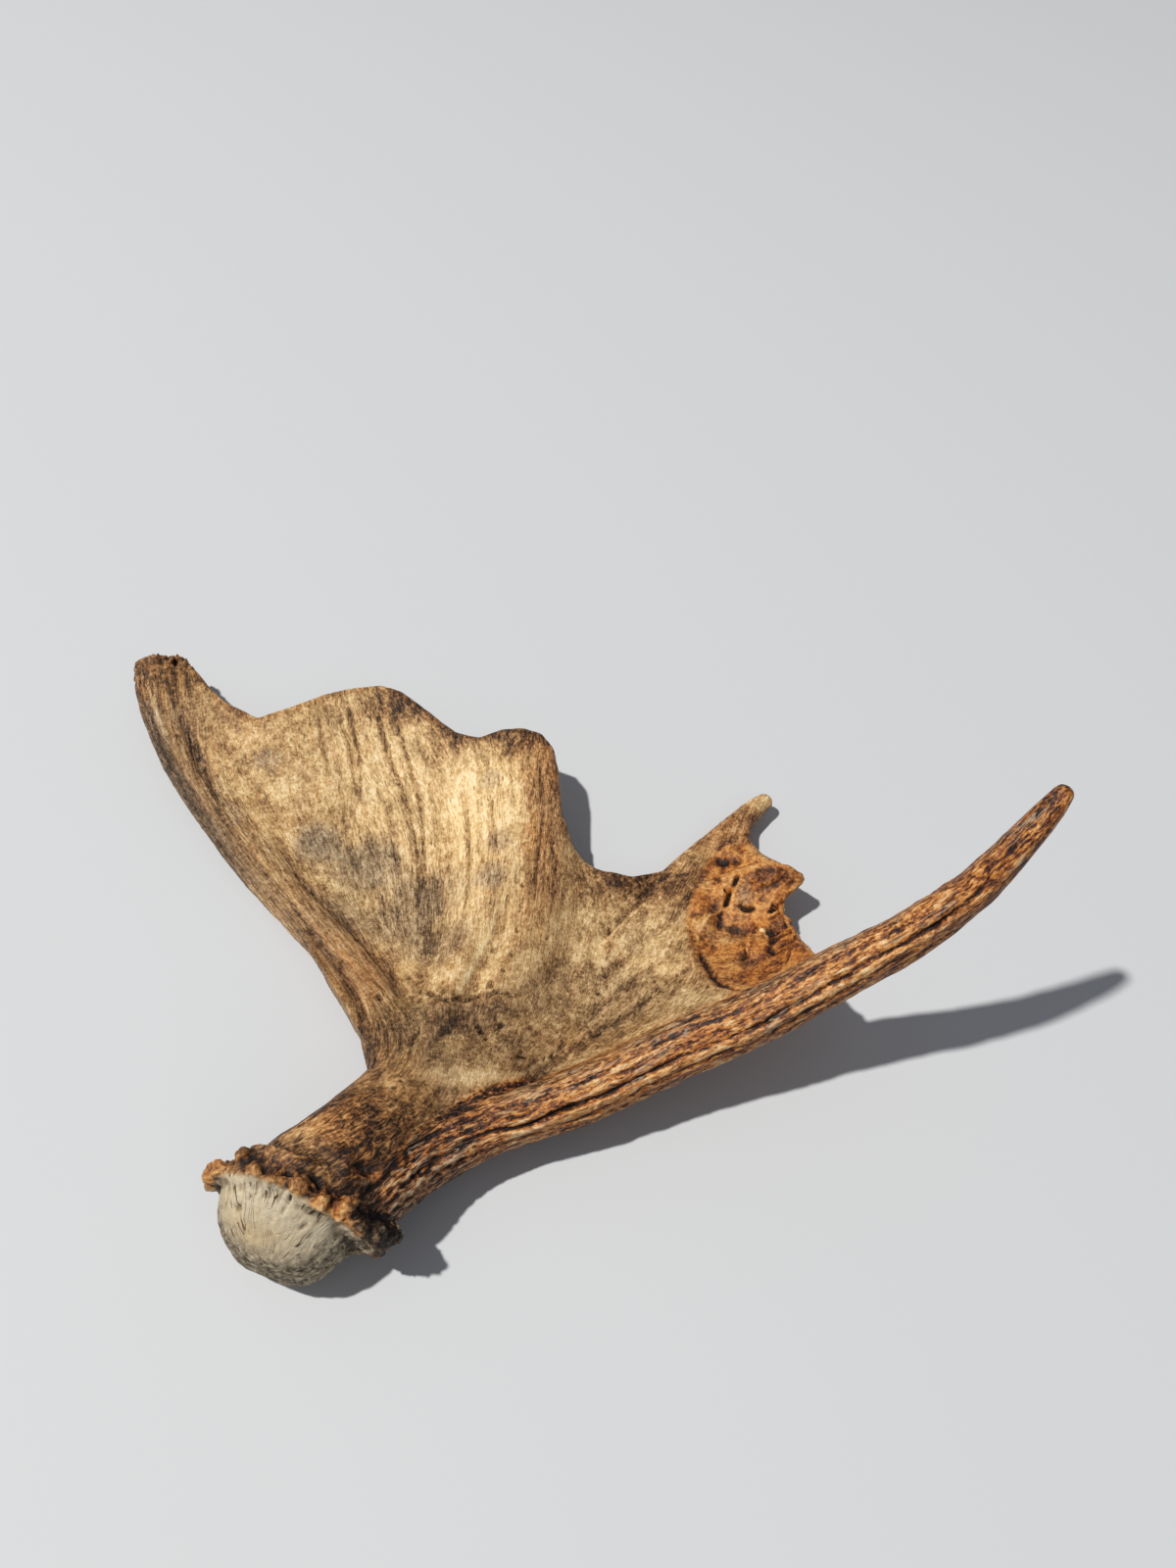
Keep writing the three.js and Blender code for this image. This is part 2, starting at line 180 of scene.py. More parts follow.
@dataclass(frozen=True)
class Noise:
    """Seeded gradient noise in space."""

    seed: int

    def _mix(self, cells: Array) -> Array:
        """Scrambles whole-number cells into 32-bit numbers.

        Args:
            cells: the cells, one row each.

        Returns:
            A number for each cell.
        """
        with np.errstate(over="ignore"):
            h = cells[:, 0] * np.uint32(374761393) + cells[:, 1] * np.uint32(668265263)
            h = h + cells[:, 2] * np.uint32(2246822519) + np.uint32(self.seed * 97 + 13)
            h = (h ^ (h >> np.uint32(15))) * np.uint32(2654435761)
            h = (h ^ (h >> np.uint32(13))) * np.uint32(1274126177)
        return h ^ (h >> np.uint32(16))

    def value(self, places: Array) -> Array:
        """Gives smooth noise.

        Args:
            places: places in cells, one row each.

        Returns:
            The noise at each place, about -1 to 1.
        """
        floor = np.floor(places)
        part = places - floor
        cell = floor.astype(np.int64).astype(np.uint32)
        blend = part**3 * (part * (part * 6 - 15) + 10)
        total = np.zeros(len(places))
        for corner in np.ndindex(2, 2, 2):
            step = np.array(corner)
            h = self._mix(cell + step.astype(np.uint32))
            turn = (h & np.uint32(1023)) * (2 * math.pi / 1024)
            rise = ((h >> np.uint32(10)) & np.uint32(1023)) * (2 / 1023) - 1
            flat = np.sqrt(1 - rise**2)
            away = part - step
            slope = away[:, 0] * flat * np.cos(turn) + away[:, 1] * flat * np.sin(turn) + away[:, 2] * rise
            weight = np.prod(np.where(step == 1, blend, 1 - blend), axis=1)
            total += weight * slope
        return total * 1.6

    def layered(self, places: Array, layers: int = 3, gain: float = 0.5) -> Array:
        """Adds finer and finer noise.

        Args:
            places: places in cells of the coarsest layer.
            layers: how many layers.
            gain: each layer's strength against the one before.

        Returns:
            The noise, about -1 to 1.
        """
        total, strength, weight = np.zeros(len(places)), 1.0, 0.0
        for k in range(layers):
            total += strength * self.value(places * 2.0**k + 17.3 * k)
            weight += strength
            strength *= gain
        return total / weight

    def ridged(self, places: Array, layers: int = 2) -> Array:
        """Noise with sharp crests, 0 in the hollows and 1 on the crests."""
        return 1.0 - np.clip(np.abs(self.layered(places, layers)) * 2.4, 0.0, 1.0)

    def pebbles(self, places: Array) -> tuple[Array, Array]:
        """Packs space with pebbles.

        Args:
            places: places in cells, one row each.

        Returns:
            The distances to the nearest and the second nearest pebble's middle, in cells.
        """
        base = np.floor(places)
        near = np.full(len(places), 9.0)
        second = np.full(len(places), 9.0)
        for corner in np.ndindex(3, 3, 3):
            cell = base + np.array(corner) - 1
            h = self._mix(cell.astype(np.int64).astype(np.uint32))
            shifts = [((h >> np.uint32(bits)) & np.uint32(1023)) / 1023 for bits in (0, 10, 20)]
            gap = np.linalg.norm(cell + np.stack(shifts, axis=1) - places, axis=1)
            second = np.minimum(second, np.maximum(near, gap))
            near = np.minimum(near, gap)
        return near, second


# ---------------------------------------------------------------- the skin


@dataclass
class Skin:
    """A closed skin of four-sided faces, in the drawing's millimetres."""

    points: Array
    quads: Array
    edges: Array = field(init=False)
    degree: Array = field(init=False)

    def __post_init__(self) -> None:
        """Lists each edge once and counts the edges at each point."""
        pairs = np.vstack([self.quads[:, [k, (k + 1) % 4]] for k in range(4)])
        self.edges = np.unique(np.sort(pairs, axis=1), axis=0)
        self.degree = np.bincount(self.edges.ravel(), minlength=len(self.points)).astype(float)

    def around(self, values: Array) -> Array:
        """Averages each point's neighbours.

        Args:
            values: a column or a table with a row for each point.

        Returns:
            The averages, in the same form.
        """
        table = values.reshape(len(values), -1)
        a, b = self.edges.T
        out = np.empty_like(table)
        for k in range(table.shape[1]):
            column = table[:, k]
            out[:, k] = np.bincount(a, column[b], len(table)) + np.bincount(b, column[a], len(table))
        return (out / self.degree[:, None]).reshape(values.shape)

    def soften(self, values: Array, rounds: int) -> Array:
        """Spreads values over the skin for so many rounds.

        Args:
            values: a column or a table with a row for each point.
            rounds: passes.

        Returns:
            The softened values.
        """
        for _ in range(rounds):
            values = 0.4 * values + 0.6 * self.around(values)
        return values

    def relax(self, weight: Array, rounds: int) -> None:
        """Smooths the skin without thinning it.

        Args:
            weight: how far each point takes part, 0 to 1.
            rounds: passes, each one in and one out.
        """
        share = weight[:, None]
        for _ in range(rounds):
            for step in (0.6, -0.62):
                self.points = self.points + share * step * (self.around(self.points) - self.points)

    def level(self, weight: Array, rounds: int, axes: Sequence[int]) -> None:
        """Evens out places, which fills a narrow valley.

        Args:
            weight: how far each point takes part, 0 to 1.
            rounds: passes.
            axes: which of x, y and z are evened out; z alone keeps an edge where it is in plan.
        """
        a, b = self.edges[weight[self.edges].max(axis=1) > 0.001].T
        for axis in axes:
            place = self.points[:, axis].copy()
            for _ in range(rounds):
                total = np.bincount(a, place[b], len(place)) + np.bincount(b, place[a], len(place))
                place += weight * (total / self.degree - place)
            self.points[:, axis] = place

    def normals(self) -> Array:
        """Works out each point's outward direction from its faces.

        Returns:
            The directions, one row each.
        """
        p = self.points[self.quads]
        faces = np.cross(p[:, 2] - p[:, 0], p[:, 3] - p[:, 1])
        total = np.empty_like(self.points)
        for k in range(3):
            column = np.repeat(faces[:, k], 4)
            total[:, k] = np.bincount(self.quads.ravel(), column, len(self.points))
        return unit(total)

    def push(self, height: Array) -> None:
        """Moves each point out along its normal by so many millimetres."""
        self.points = self.points + self.normals() * height[:, None]

    def hollows(self, rounds: int) -> Array:
        """How far each point stands proud of the skin smoothed by so many rounds, in mm."""
        return np.einsum("ij,ij->i", self.points - self.soften(self.points, rounds), self.normals())


@dataclass(frozen=True)
class SkinMaker:
    """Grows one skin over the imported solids."""

    voxel: float = 1.07
    bridge: float = 0.34  # each solid swells so much, which closes the saw cuts at the forks

    def _swollen(self) -> bpy.types.Mesh:
        """Joins swollen copies of the solids in one mesh, in metres.

        Returns:
            The mesh.
        """
        joined = bmesh.new()
        for part in Part:
            copy = bmesh.new()
            copy.from_mesh(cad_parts[part.value].data)
            bmesh.ops.remove_doubles(copy, verts=copy.verts, dist=2e-6)
            copy.normal_update()
            for vert in copy.verts:
                vert.co += vert.normal * self.bridge * MM
            piece = bpy.data.meshes.new("copy")
            copy.to_mesh(piece)
            copy.free()
            joined.from_mesh(piece)
            bpy.data.meshes.remove(piece)
        mesh = bpy.data.meshes.new("swollen")
        joined.to_mesh(mesh)
        joined.free()
        return mesh

    def grow(self) -> Skin:
        """Wraps the solids in an even net of small faces.

        Returns:
            The skin, swollen by the bridge no more.
        """
        holder = bpy.data.objects.new("holder", self._swollen())
        bpy.context.scene.collection.objects.link(holder)
        wrap = holder.modifiers.new("wrap", "REMESH")
        wrap.mode = "VOXEL"
        wrap.voxel_size = self.voxel * MM
        mesh = bpy.data.meshes.new_from_object(holder.evaluated_get(bpy.context.evaluated_depsgraph_get()))
        points = np.empty(len(mesh.vertices) * 3)
        mesh.vertices.foreach_get("co", points)
        corners = np.empty(len(mesh.loops), np.int64)
        mesh.loops.foreach_get("vertex_index", corners)
        old = holder.data
        bpy.data.objects.remove(holder)
        bpy.data.meshes.remove(old)
        bpy.data.meshes.remove(mesh)
        skin = Skin(points.reshape(-1, 3) / MM - np.array(SET_DOWN), corners.reshape(-1, 4))
        skin.relax(np.ones(len(skin.points)), 2)
        skin.push(np.full(len(skin.points), -self.bridge))
        return skin


# ---------------------------------------------------------------- how the antler grew


@dataclass(frozen=True)
class Limb:
    """A round limb: stations of x, y, z, half width and half thickness along its middle."""

    stations: tuple[tuple[float, float, float, float, float], ...]

    def survey(self, places: Array) -> tuple[Array, Array]:
        """Measures places from the limb's middle line.

        Args:
            places: the places, one row each.

        Returns:
            A table of sideways, upward and along in mm, and each distance in radii of the limb there.
        """
        rail = spline(np.array(self.stations), 14)
        middle, radii = rail[:, :3], rail[:, 3:]
        ahead = unit(np.gradient(middle, axis=0))
        side = unit(np.cross(ahead, [0.0, 0.0, 1.0]))
        above = np.cross(side, ahead)
        run = np.concatenate([[0.0], np.cumsum(np.linalg.norm(np.diff(middle, axis=0), axis=1))])
        tree = KDTree(len(middle))
        for k, p in enumerate(middle):
            tree.insert(p, k)
        tree.balance()
        near = np.array([tree.find(p)[1] for p in places])
        gap = places - middle[near]
        along = np.einsum("ij,ij->i", gap, ahead[near])
        across = np.einsum("ij,ij->i", gap, side[near])
        rise = np.einsum("ij,ij->i", gap, above[near])
        reach = np.hypot(across / radii[near, 0], rise / radii[near, 1])
        past = np.where((near == 0) & (along < 0) | (near == len(middle) - 1) & (along > 0), np.abs(along), 0.0)
        return np.stack([across, rise, run[near] + along], axis=1), reach + past / radii[near].mean(axis=1)


LONG_TINE = Limb(
    (
        (-58, -154, 30, 11.5, 12),
        (-48.5, -143, 27.5, 12, 12.5),
        (-38.5, -132, 24, 12, 12.5),
        (-28, -123.5, 22.3, 12, 12.5),
        (-11, -114.5, 22.3, 11.6, 12),
        (11, -107.5, 24, 11.5, 12),
        (32, -101, 27.5, 11.8, 12),
        (68, -86.5, 35, 12, 11.8),
        (94, -78.5, 42.5, 11.8, 11.6),
        (119, -70, 53.5, 11.4, 11.4),
        (143, -63, 68.5, 10.6, 10.6),
        (165, -58, 85.5, 9.4, 9.4),
        (186, -50, 106.5, 7.8, 7.6),
        (204, -39, 130, 5.8, 5.4),
        (211, -33.6, 139.5, 4, 3.6),
    )
)

LEFT_RIM = Limb(
    (
        (-36, -118, 20, 12, 11),
        (-50, -86, 22, 12, 11.5),
        (-64.5, -50, 18, 10.5, 10),
        (-94.5, -14, 14, 10, 8.8),
        (-127.5, 21, 12.5, 10, 8.2),
        (-155.5, 55, 14, 10, 8.2),
        (-180.5, 90, 17.5, 10.5, 8.2),
        (-197.5, 124, 21.5, 11.5, 8),
        (-203.5, 143, 24.5, 12.5, 8),
        (-204.5, 153, 26, 11.5, 7.5),
    )
)

# The left rim's outer edge, in plan.
RIM_EDGE = np.array([(-213.0, 140.0), (-207.0, 119.0), (-189.5, 86.0), (-164.0, 50.0), (-136.0, 14.0)])

# Growth lines in plan, from the burr to the edge. Each has the same eight stations: burr, beam, fork, neck, palm.
GROWTH_LINES: tuple[tuple[Point, ...], ...] = (
    ((-112, -139), (-88, -118), (-64, -94), (-70, -55), (-112, -8), (-157, 46), (-192, 98), (-214, 152)),
    ((-104, -142), (-79, -121), (-52, -93), (-57, -64), (-93, -22), (-134, 30), (-168, 84), (-190, 150)),
    ((-97, -144), (-71, -123), (-44, -96), (-46, -66), (-76, -24), (-108, 26), (-134, 72), (-150, 117)),
    ((-91, -147), (-64, -126), (-38, -100), (-41, -68), (-64, -22), (-86, 30), (-100, 82), (-115, 131)),
    ((-85, -150), (-58, -129), (-33, -104), (-33, -72), (-47, -20), (-56, 38), (-72, 86), (-88, 136)),
    ((-79, -152), (-52, -131), (-28, -108), (-24, -78), (-26, -28), (-26, 24), (-32, 66), (-40, 104)),
    ((-72, -155), (-46, -134), (-22, -112), (-14, -84), (-6, -40), (-1, 8), (1, 52), (0, 94)),
    ((-67, -157), (-41, -136), (-16, -115), (-5, -89), (8, -48), (14, 0), (17, 38), (17, 76)),
    ((-62, -158), (-36, -138), (-11, -117), (3, -92), (17, -62), (25, -30), (29, -2), (32, 24)),
    ((-58, -160), (-31, -140), (-6, -119), (11, -96), (31, -72), (48, -44), (63, -10), (80, 30)),
    ((-55, -161), (-27, -142), (-2, -121), (17, -100), (42, -80), (66, -56), (88, -16), (124, 70)),
    ((-52, -162), (-24, -144), (2, -122), (24, -105), (53, -88), (82, -72), (112, -58), (150, -42)),
    ((-46, -164), (-18, -147), (8, -126), (32, -112), (64, -98), (96, -84), (128, -70), (162, -60)),
)


@dataclass(frozen=True)
class GrowthFan:
    """The fan of fibres that spreads from the burr over both palms."""

    lines: tuple[tuple[Point, ...], ...] = GROWTH_LINES
    steps: int = 20

    def survey(self, places: Array) -> Array:
        """Reads the fan at plan places.

        Args:
            places: places, one row each, of which x and y count.

        Returns:
            A table of the column across the fan and the millimetres along it.
        """
        net = np.array(self.lines, float)
        columns, rows = net.shape[:2]
        net = np.stack([spline(line, self.steps) for line in net])
        net = spline(net.reshape(columns, -1), self.steps).reshape((columns - 1) * self.steps + 1, -1, 2)
        runs = np.linalg.norm(np.diff(net, axis=1), axis=2).mean(axis=0)
        along = np.concatenate([[0.0], np.cumsum(runs)])
        across = np.arange(net.shape[0]) / self.steps
        by_column = np.gradient(net, across, axis=0)
        by_run = np.gradient(net, along, axis=1)
        width = net.shape[1]
        flat = net.reshape(-1, 2)
        tree = KDTree(len(flat))
        for k, (x, y) in enumerate(flat):
            tree.insert((x, y, 0.0), k)
        tree.balance()
        near = np.array([tree.find((x, y, 0.0))[1] for x, y in places[:, :2]])
        du, dv = by_column.reshape(-1, 2)[near], by_run.reshape(-1, 2)[near]
        gap = places[:, :2] - flat[near]
        area = du[:, 0] * dv[:, 1] - du[:, 1] * dv[:, 0]
        area = np.where(np.abs(area) < 1e-6, 1e-6, area)
        u = across[near // width] + (gap[:, 0] * dv[:, 1] - gap[:, 1] * dv[:, 0]) / area
        v = along[near % width] + (du[:, 0] * gap[:, 1] - du[:, 1] * gap[:, 0]) / area
        return np.stack([u, v], axis=1)


@dataclass(frozen=True)
class Burr:
    """The coronet, and the cast face that bulges out of it."""

    centre: Point3 = (-78.5, -150.5, 30.0)
    outward: Point3 = (-0.361, -0.9326, 0.0)
    half_width: float = 37.0
    half_height: float = 26.0
    underside: float = 0.72  # the lower half is this much flatter
    dome: Point = (-4.2, -1.0)  # the bulge's middle, mm to the right and up
    dome_radius: float = 28.0
    droop: float = 0.33  # mm that it sinks for each mm that it stands out

    def survey(self, places: Array) -> Array:
        """Measures places from the coronet.

        Args:
            places: the places, one row each.

        Returns:
            A table of mm to the right, mm up, mm out of the burr, and the distance in radii of the coronet and of
            the bulge.
        """
        gap = places - np.array(self.centre)
        out = gap @ np.array(self.outward)
        right = gap @ np.array([-self.outward[1], self.outward[0], 0.0])
        rise = gap[:, 2]
        height = self.half_height * np.where(rise < 0, self.underside, 1.0)
        radii = np.hypot(right / self.half_width, rise / height)
        sunk = rise - self.dome[1] + self.droop * np.maximum(out, 0.0)
        bulge = np.hypot(right - self.dome[0], sunk) / self.dome_radius
        return np.stack([right, rise, out, radii, bulge], axis=1)


SCAR_OUTLINE: tuple[Point, ...] = (
    (84, 14), (80.5, 1), (78.5, -9), (79, -19), (82, -31), (85, -43.5), (88.5, -54), (96, -61), (122, -56), (136, -48),
    (134, -20), (130, -6), (137, 8), (134, 18), (118, 22), (110, 33), (101, 37), (92, 28),
)  # fmt: skip


@dataclass
class Lay:
    """Where every point of the skin lies in the antler's growth."""

    skin: Skin
    normals: Array
    fan: Array
    limb: Array
    burr: Array
    tine: Array
    seal: Array
    pearls: Array
    scar: Array
    scar_depth: Array
    rim: Array
    snap: Array
    palm: Array
    waves: Array
    calm: Array
    top: Array

    @classmethod
    def measure(cls, skin: Skin) -> "Lay":
        """Surveys a skin.

        Args:
            skin: the skin, before any relief.

        Returns:
            Its lay, with a row or a number for each point.
        """
        points, normals = skin.points, skin.normals()
        limb, reach = LONG_TINE.survey(points)
        rim = LEFT_RIM.survey(points)[1]
        fan = GrowthFan().survey(points)
        burr = Burr().survey(points)
        out, radii, bulge = burr[:, 2:].T
        seal = np.maximum(ease(0.93, 0.85, radii) * ease(-3.0, 0.5, out), ease(1.12, 1.03, bulge) * ease(1.0, 3.0, out))
        seal = np.maximum(seal, ease(5.5, 8.0, out))
        pearls = ease(9.0, 5.5, np.abs(out)) * ease(0.78, 0.90, radii) * (1.0 - seal)
        plan = points[:, :2]
        outline = np.array(SCAR_OUTLINE, float)
        edge = line_distance(plan, np.vstack([outline, outline[:1]]))[0]
        scar_depth = np.where(inside(plan, outline), edge, -edge)
        top = ease(-0.15, 0.45, normals[:, 2])
        tine = ease(1.5, 1.14, reach) * ease(-2.0, 16.0, limb[:, 2]) * (1.0 - seal)
        column, palm = fan[:, 0], ease(38.0, 92.0, fan[:, 1])
        drawn = ease(2.4, 3.6, column) * ease(8.2, 7.0, column) * ease(-40.0, -5.0, points[:, 1])
        return cls(
            skin=skin,
            normals=normals,
            fan=fan,
            limb=limb,
            burr=burr,
            tine=tine * (1.0 - 0.9 * pearls),
            seal=seal,
            pearls=pearls,
            scar=ease(-2.5, 1.5, scar_depth) * (1.0 - tine),
            scar_depth=scar_depth,
            rim=ease(1.55, 1.05, rim) * ease(-60.0, -30.0, points[:, 1]),
            snap=ease(140.0, 149.0, points[:, 1] - 0.25 * points[:, 0] - 50.0),
            palm=palm,
            waves=ease(-72.0, -26.0, out) * ease(6.4, 8.2, column) * (1.0 - seal) * (1.0 - 0.7 * pearls),
            calm=palm * (1.0 - drawn) * (1.0 - tine) * (1.0 - ease(1.75, 1.2, rim)),
            top=top,
        )

    def grain(self, width: float, stretch: float) -> Array:
        """Places in cells of noise that follow the fan on the palms.

        Args:
            width: how wide a fibre is, in mm.
            stretch: how many times longer it is.

        Returns:
            The places, for a noise.
        """
        across, along = self.fan.T
        return np.stack([across * PALM_COLUMN, along / stretch, self.skin.points[:, 2]], axis=1) / width

    def stem_grain(self, width: float, stretch: float) -> Array:
        """The same for the beam, where the fan is narrow."""
        across, along = self.fan.T
        return np.stack([across * STEM_COLUMN, along / stretch, self.skin.points[:, 2]], axis=1) / width

    def fibres(self, noise: Noise, width: float, stretch: float) -> Array:
        """Noise drawn out along the growth.

        Args:
            noise: the noise.
            width: how wide a fibre is, in mm.
            stretch: how many times longer it is.

        Returns:
            The noise at each point, about -1 to 1.
        """
        palm = noise.layered(self.grain(width, stretch), 2)
        stem = noise.layered(self.stem_grain(width, stretch), 2)
        return stem + (palm - stem) * self.palm


# ---------------------------------------------------------------- relief


@dataclass(frozen=True)
class Levelling:
    """A line in plan along which two solids meet too sharply, and how far beside it the skin is evened out."""

    line: tuple[Point, ...]
    reach: float
    inland: bool = True  # away from the antler's outline, so that places may be evened out sideways as well

    def weight(self, lay: Lay) -> Array:
        """Weighs the skin beside the line.

        Args:
            lay: the skin's lay.

        Returns:
            How far each point takes part, 0 to 1.
        """
        gap = line_distance(lay.skin.points[:, :2], np.array(self.line, float))[0]
        upper = ease(-0.75, -0.25, lay.normals[:, 2])
        return 0.96 * ease(self.reach, 0.4 * self.reach, gap) * upper * (1.0 - lay.tine)


@dataclass(frozen=True)
class Mark:
    """A line cut or raised on the upper side, drawn in plan."""

    line: tuple[Point, ...]
    width: float
    depth: float
    taper: float = 0.2  # share of the line over which each end fades

    def trace(self, lay: Lay) -> Array:
        """How near each point is to the mark in plan, 0 to 1."""
        gap, share = line_distance(lay.skin.points[:, :2], spline(np.array(self.line, float), 6))
        return swell(gap, self.width) * ease(0.0, self.taper, share) * ease(1.0, 1.0 - self.taper, share)

    def carve(self, lay: Lay) -> Array:
        """The height of the mark at each point, in mm."""
        return -self.depth * self.trace(lay) * lay.top


@dataclass(frozen=True)
class Lump:
    """A rounded lump or, with a height below zero, a pit on the upper side."""

    at: Point
    radius: float
    height: float

    def carve(self, lay: Lay) -> Array:
        """The height of the lump at each point, in mm."""
        gap = np.linalg.norm(lay.skin.points[:, :2] - np.array(self.at), axis=1)
        return self.height * np.clip(1.0 - (gap / self.radius) ** 2, 0.0, 1.0) ** 0.75 * lay.top


@dataclass(frozen=True)
class PalmRelief:
    """The fan of shallow furrows on both palms, with the deeper ones one by one."""

    swell_height: float = 0.45
    furrow_depth: float = 0.34
    fibre_height: float = 0.11
    furrows: tuple[Mark, ...] = (
        Mark(((-104, 126), (-98, 108), (-92, 92), (-88, 74), (-86, 59)), 1.3, 0.55),
        Mark(((-98, 126), (-92, 106), (-87, 86), (-85, 71), (-86, 57)), 1.3, 0.6),
        Mark(((-82, 120), (-75, 99), (-67, 78), (-61, 63), (-55, 42), (-50, 19), (-48, -7)), 1.7, 0.8, 0.12),
        Mark(((-73, 118), (-64, 94), (-58, 74), (-52, 53), (-49, 30), (-44, -4)), 1.5, 0.55),
        Mark(((-113, 120), (-107, 97), (-101, 74)), 1.4, 0.4),
        Mark(((-17, 61), (-13, 30), (-10, 2), (-11, -27)), 2.0, 0.45),
        Mark(((6, 74), (9, 57), (10, 35), (8, 13), (7, -12)), 1.3, 0.6),
        Mark(((12.5, 71), (14.7, 51), (14.6, 30), (15.8, 14)), 1.2, 0.5),
        Mark(((-30, 60), (-27, 34), (-25, 10), (-25, -14)), 1.6, 0.4),
    )

    def height(self, lay: Lay) -> Array:
        """Adds up the palm's relief.

        Args:
            lay: the skin's lay.

        Returns:
            The height at each point, in mm.
        """
        plain = (1.0 - lay.tine) * (1.0 - lay.seal) * (1.0 - lay.pearls) * (1.0 - lay.scar)
        points = lay.skin.points
        rolling = self.swell_height * Noise(3).layered(points / 24.0, 2)
        broad = Noise(5).ridged(lay.grain(8.0, 11.0), 2)
        narrow = Noise(7).ridged(lay.grain(3.8, 12.0), 2)
        patches = 0.35 + 0.65 * ease(-0.3, 0.3, Noise(9).layered(points / 30.0, 2))
        furrows = -self.furrow_depth * (0.65 * broad + 0.5 * narrow * patches) * lay.palm * (1.0 - 0.8 * lay.calm)
        fibres = self.fibre_height * lay.fibres(Noise(11), 2.2, 7.0)
        fibres = fibres + 0.16 * lay.calm * Noise(13).layered(points / 2.8, 2)
        drawn = sum(mark.carve(lay) for mark in self.furrows)
        return plain * (rolling + furrows + fibres + drawn)


@dataclass(frozen=True)
class RimRelief:
    """Long ridges on the thick left rim, and the groove that parts it from the palm."""

    marks: tuple[Mark, ...] = (
        Mark(((-182, 115), (-166, 78), (-147, 45), (-123, 15), (-102, -11), (-80, -38)), 2.6, 1.1, 0.15),
        Mark(((-186, 108), (-172, 76), (-152, 43), (-129, 13), (-107, -13), (-84, -42)), 2.2, -0.7, 0.15),
        Mark(((-205, 131), (-195, 103), (-178, 73), (-155, 41), (-126, 9), (-99, -22), (-77, -53)), 1.4, 0.9, 0.08),
        Mark(((-199, 128), (-187, 97), (-170, 68), (-148, 37), (-121, 6), (-95, -24)), 1.5, 0.6, 0.1),
        Mark(((-209, 128), (-200, 100), (-184, 71), (-162, 41), (-135, 10), (-106, -22)), 1.5, -0.6, 0.1),
    )

    def height(self, lay: Lay) -> Array:
        """Adds up the rim's relief.

        Args:
            lay: the skin's lay.

        Returns:
            The height at each point, in mm.
        """
        wavy = Noise(21).ridged(lay.grain(3.0, 16.0), 2)
        drawn = sum(mark.carve(lay) for mark in self.marks)
        return lay.rim * 0.55 * (wavy - 0.5) + drawn * (1.0 - lay.snap)


def twist(along: Array, lane: float) -> Array:
    """How far the long tine's grooves and stripes wander round it.

    Args:
        along: mm along the tine.
        lane: each groove's own number.

    Returns:
        The wander in degrees: one part for all lanes, one for this one.
    """
    shared = np.stack([along / 75.0, np.zeros_like(along), np.zeros_like(along)], axis=1)
    own = np.stack([along / 27.0, np.full_like(along, 7.1 * lane), np.zeros_like(along)], axis=1)
    return 16.0 * Noise(31).layered(shared, 2) + 11.0 * Noise(32).layered(own, 3)


def turn_from(turn: Array, centre: Array | float) -> Array:
    """Degrees from one turn to another, the short way round."""
    return (turn - centre + 180.0) % 360.0 - 180.0


@dataclass(frozen=True)
class Groove:
    """A groove along the long tine: its turn in degrees from the top, its size, and where it starts and stops."""

    turn: float
    depth: float
    width: float
    start: float
    stop: float


@dataclass(frozen=True)
class TineRelief:
    """The long tine's grooves and braided ridges, which fade towards its tip."""

    grooves: tuple[Groove, ...] = (
        Groove(2, 0.6, 0.9, 20, 225),
        Groove(-21, 0.5, 0.85, 50, 190),
        Groove(-38, 1.9, 1.0, 0, 300),
        Groove(-66, 0.7, 0.9, 10, 250),
        Groove(-92, 0.8, 1.1, 40, 275),
        Groove(-116, 0.6, 1.2, 0, 230),
        Groove(-143, 0.9, 1.5, 20, 260),
        Groove(28, 0.4, 1.2, 60, 260),
        Groove(58, 0.7, 1.4, 130, 240),
        Groove(96, 0.9, 1.6, 0, 270),
        Groove(135, 0.7, 1.6, 30, 250),
        Groove(176, 0.9, 1.7, 10, 265),
    )
    braid_height: float = 0.6
    fibre_height: float = 0.3

    def height(self, lay: Lay) -> Array:
        """Adds up the tine's relief.

        Args:
            lay: the skin's lay.

        Returns:
            The height at each point, in mm.
        """
        across, rise, along = lay.limb.T
        turn = np.degrees(np.arctan2(-across, rise))
        radius = np.hypot(across, rise)
        total = np.zeros(len(along))
        for lane, groove in enumerate(self.grooves):
            gap = np.radians(turn_from(turn, groove.turn + twist(along, lane))) * radius
            track = np.stack([along / 19.0, np.full_like(along, 5.3 * lane), np.zeros_like(along)], axis=1)
            run = ease(groove.start - 12, groove.start + 12, along) * ease(groove.stop + 25, groove.stop - 25, along)
            deep = groove.depth * np.clip(0.8 + 0.9 * Noise(33).value(track), 0.15, 1.4)
            total -= run * deep * swell(gap, groove.width)
            total += run * 0.2 * deep * swell(np.abs(gap) - 2.2 * groove.width, groove.width)
        cells = np.stack([across, rise, along / 8.0], axis=1)
        cells = cells + 1.3 * Noise(36).value(lay.limb / 9.0)[:, None]
        braid = Noise(38).ridged(cells / 4.4, 2) - 0.5
        where = 0.25 + 0.75 * ease(-0.2, 0.35, Noise(39).layered(lay.limb / np.array([9.0, 9.0, 30.0]), 2))
        total += self.braid_height * braid * where + self.fibre_height * Noise(35).layered(cells / 1.9, 2)
        total += 0.6 * Noise(37).layered(lay.limb / 14.0, 2)
        return lay.tine * total * (0.3 + 0.7 * ease(330.0, 285.0, along))


